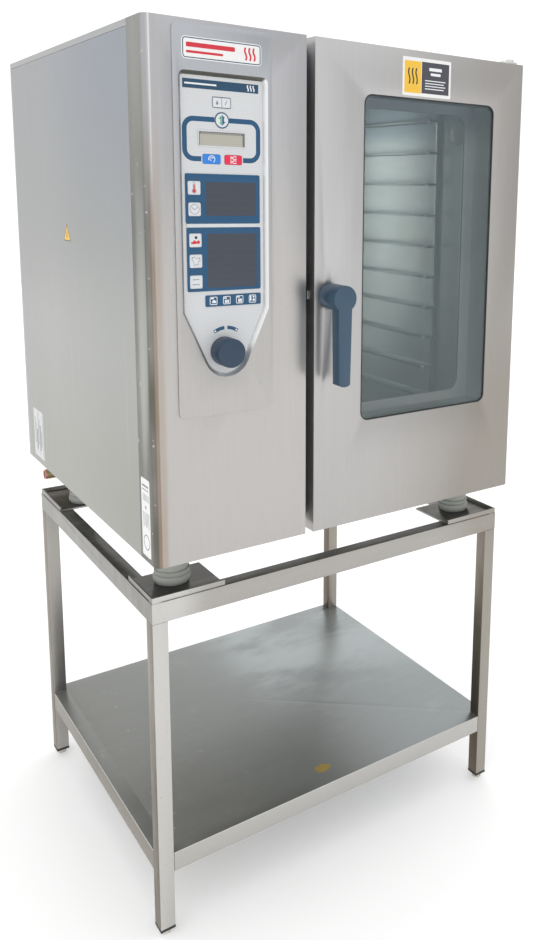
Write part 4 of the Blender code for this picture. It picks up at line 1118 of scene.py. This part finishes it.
for short, marks in SMALL_MARKS.items():
    on_key(short, "marks", WHITE_INK, key_frame(short, 0.0003, 0.0024, 0.0013) + marks)

# ------------------------------------------------------------------ labels
SIDE_SURFACE = box("left_side_panel")[0].x
WRAP_SURFACE = 0.0
SIDE_INK = 0.00005


def on_door(name, loops, material, level):
    """A printed layer on the door; level counts the layers from the steel."""
    printed(name, loops, "front", SKIN_LOW.y - level * INK, INK, material, "door")


def on_side(name, loops, material, level, surface=SIDE_SURFACE):
    """A printed layer on the left side; level counts the layers from the steel."""
    printed(name, loops, "left", surface - level * SIDE_INK, SIDE_INK, material, "base")


on_door("door_label", [rounded(0.5185, 0.6400, 0.8535, 0.9265, 0.0022)], LABEL_WHITE, 0)
on_door("door_label_yellow", [bar(0.5230, 0.5640, 0.8590, 0.9195)], LABEL_YELLOW, 1)
on_door("door_label_dark", [bar(0.5655, 0.6350, 0.8600, 0.9200)], LABEL_DARK, 1)
on_door("door_label_steam", [
    wavy(x, 0.8760, 0.9060, 0.0018, 0.0030) for x in (0.5345, 0.5435, 0.5525)
], BLACK_INK, 2)
on_door("door_label_bars", [
    rounded(0.5840, 0.6160, 0.9040, 0.9100, 0.001), rounded(0.5880, 0.6130, 0.8950, 0.9000, 0.001),
    *[bar(0.5740, 0.6260 - 0.004 * (row % 2), low, low + 0.0018)
      for row, low in enumerate((0.8840, 0.8788, 0.8736, 0.8684))],
], WHITE_INK, 2)

TRIANGLE = [(0.4215, 0.5530), (0.4675, 0.5530), (0.4445, 0.5880)]
TRIANGLE_MIDDLE = (0.4445, 0.5640)
FACE_SHARE = 0.86
on_side("side_triangle", [TRIANGLE], BLACK_INK, 0)
on_side("side_triangle_face", [[
    tuple(middle + FACE_SHARE * (place - middle) for place, middle in zip(point, TRIANGLE_MIDDLE))
    for point in TRIANGLE
]], LABEL_YELLOW, 1)
on_side("side_triangle_mark", [wavy(TRIANGLE_MIDDLE[0], 0.5590, 0.5740, 0.0010, 0.0024)], BLACK_INK, 2)

on_side("rating_plate", [rounded(0.7000, 0.7800, 0.0150, 0.1320, 0.003)], LABEL_SILVER, 0)
on_side("rating_lines", [
    bar(0.7060 + 0.0085 * n, 0.7082 + 0.0085 * n + 0.0020 * (n * 7 % 3), 0.0220 + 0.012 * (n * 5 % 3),
        0.1250 - 0.014 * (n * 3 % 4))
    for n in range(8)
], GREY_INK, 1)
on_side("wrap_label", [rounded(0.0240, 0.0640, 0.0100, 0.1560, 0.004)], LABEL_WHITE, 0,
        WRAP_SURFACE)
columns = [0.0300 + 0.006 * n for n in range(5)]
on_side("wrap_label_lines", [
    bar(0.0300, 0.0590, 0.1405, 0.1440), bar(0.0300, 0.0590, 0.1340, 0.1360),
    *[bar(y, y + 0.0022, 0.1140, 0.1270) for y in columns],
    disc(0.0440, 0.1025, 0.0032, 16),
    *[bar(y, y + 0.0020, 0.0640 + 0.004 * (n % 2), 0.0930) for n, y in enumerate(columns)],
    *[band(0.0430, 0.0370, 0.0125, 0.0145, first, first + 180, 16) for first in (0, 180)],
], GREY_INK, 1, WRAP_SURFACE)

# ------------------------------------------------------------------ door: window gasket, bulb seal
WINDOW = (0.430, 0.761, 0.210, 0.849)
WINDOW_RADIUS = 0.018
swept(
    "window_gasket", frame_path(*WINDOW, WINDOW_RADIUS, SKIN_LOW.y),
    [(0.0002, -0.0002), (0.0002, -0.0030), (-0.0022, -0.0030), (-0.0022, -0.0004), (-0.0014, 0.0004),
     (-0.0002, 0.0005)],
    SILICONE, "door",
)
gasket_low, gasket_high = box("door_gasket")
SEAL_SECTION = [
    (-0.0005, 0.0), (-0.0012, 0.0026), (-0.0032, 0.0046), (-0.0068, 0.0046), (-0.0088, 0.0026),
    (-0.0095, 0.0), (-0.0088, -0.0026), (-0.0072, -0.0040), (-0.0072, -0.0070), (-0.0092, -0.0080),
    (-0.0092, -0.0112), (-0.0008, -0.0112), (-0.0008, -0.0080), (-0.0028, -0.0070), (-0.0028, -0.0040),
    (-0.0012, -0.0026),
]
seal = swept(
    "door_seal",
    frame_path(gasket_low.x, gasket_high.x, gasket_low.z, gasket_high.z, 0.014, gasket_low.y + 0.0050, 8),
    SEAL_SECTION, SILICONE, "base",
)
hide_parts("door_gasket")

# ------------------------------------------------------------------ cavity: fan guard
FAN_Y = 0.4175
FAN_Z = 0.500
GUARD_X = box("air_baffle")[1].x + 0.0014
GUARD_RADII = (0.030, 0.055, 0.080, 0.105)
GUARD_SPOKE = (0.030, 0.121)


def guard_point(radius, degrees):
    turn = math.radians(degrees)
    return (GUARD_X, FAN_Y + radius * math.cos(turn), FAN_Z + radius * math.sin(turn))


wires("fan_guard", [
    *[([guard_point(radius, 9 * step) for step in range(40)], True) for radius in GUARD_RADII],
    *[([guard_point(radius, turn) for radius in GUARD_SPOKE], False) for turn in (45, 135, 225, 315)],
], 0.0011, BRIGHT, "baffle")

# ------------------------------------------------------------------ welds
FIRST_RAIL = 0.183
RAIL_PITCH = 0.072
# The weld beads at the rail tips are real; their near-white colour is a painted highlight.
WELD_HIGHLIGHT = ink("mat_weld_highlight", (0.88, 0.90, 0.88), 0.20)
rack_corner = box("rack_right")[0]
tip_x = rack_corner.x + 0.0008
tip_y = rack_corner.y + 0.0008
tip_heights = [FIRST_RAIL + RAIL_PITCH * rail - 0.0025 for rail in range(10)]
beads("rack_tips", [
    ((tip_x, tip_y, height), (tip_x, tip_y + 0.012, height)) for height in tip_heights
], 0.0042, WELD_HIGHLIGHT, "right_rack")
WELD_INSET = 0.006
shelf_top = SHELF_HIGH.z + 0.0004
leg_welds = []
for side_name in ("left", "right"):
    for end_name in ("front", "back"):
        low, high = box("stand_leg_%s_%s" % (end_name, side_name))
        inner_x = high.x if side_name == "left" else low.x
        inner_y = high.y if end_name == "front" else low.y
        leg_welds += [
            ((inner_x, low.y + WELD_INSET, shelf_top), (inner_x, high.y - WELD_INSET, shelf_top)),
            ((low.x + WELD_INSET, inner_y, shelf_top), (high.x - WELD_INSET, inner_y, shelf_top)),
        ]
beads("shelf_welds", leg_welds, 0.0018, STAND, "base")

# ------------------------------------------------------------------ surroundings


def floor_finish():
    made = Finish("mat_floor", 0.55)
    cloud = made.noise(1.2, 4.0, 0.6)
    grain = made.noise(260.0, 2.0)
    tone = made.around(1.0, (cloud, 0.02), (grain, 0.02))
    made.colour(made.tint((0.90, 0.90, 0.90), tone))
    made.rough(0.60, (cloud, 0.15))
    made.bump(grain, 0.0002, 0.2)
    made.set(Emission_Color=(1.0, 1.0, 1.0, 1.0), Emission_Strength=0.22)
    return made.material


bm = bmesh.new()
bmesh.ops.create_grid(bm, x_segments=8, y_segments=8, size=12.0)
floor_mesh = mesh_from(bm, "floor")
floor_mesh.materials.append(floor_finish())
floor = bpy.data.objects.new("floor", floor_mesh)
bpy.context.scene.collection.objects.link(floor)


def make_world():
    """Even white light, a little darker from the right of the front and from the far left."""
    world = bpy.data.worlds.new("studio")
    bpy.context.scene.world = world
    world.use_nodes = True
    tree = world.node_tree
    tree.nodes.clear()
    direction = put(tree, "ShaderNodeTexCoord").outputs["Generated"]

    def lobe(x, y, z, near, far, depth):
        along = put(tree, "ShaderNodeVectorMath", {"operation": "DOT_PRODUCT"}, i0=direction,
                    i1=Vector((x, y, z)).normalized()).outputs["Value"]
        return eased(tree, along, far, near, 1.0, 1.0 - depth)

    level = arithmetic(tree, "MULTIPLY", lobe(0.90, -0.42, -0.05, 0.97, 0.62, 0.30),
                       lobe(-0.57, 0.81, 0.05, 0.98, 0.60, 0.14))
    level = arithmetic(tree, "MULTIPLY", level, 1.13)
    colour = put(tree, "ShaderNodeCombineXYZ", None, X=level, Y=level, Z=level).outputs[0]
    background = put(tree, "ShaderNodeBackground", None, Color=colour)
    out = put(tree, "ShaderNodeOutputWorld")
    tree.links.new(background.outputs[0], out.inputs[0])


make_world()


def area_light(name, place, towards, width, height, power, colour):
    data = bpy.data.lights.new(name, "AREA")
    data.shape = "RECTANGLE"
    data.size = width
    data.size_y = height
    data.energy = power
    data.color = colour
    light = bpy.data.objects.new(name, data)
    light.location = place
    light.rotation_euler = (towards - place).to_track_quat("-Z", "Y").to_euler()
    bpy.context.scene.collection.objects.link(light)
    light.visible_camera = False


CAVITY_GLOW = (0.92, 1.0, 0.98)
area_light("cavity_light", at(0.47, 0.60, 0.50), at(0.79, 0.44, 0.36), 0.20, 0.70, 1.35, CAVITY_GLOW)
area_light("cavity_top_light", at(0.55, 0.50, 0.875), at(0.72, 0.40, 0.10), 0.20, 0.40, 0.7, CAVITY_GLOW)
bpy.context.scene.view_settings.view_transform = "Standard"
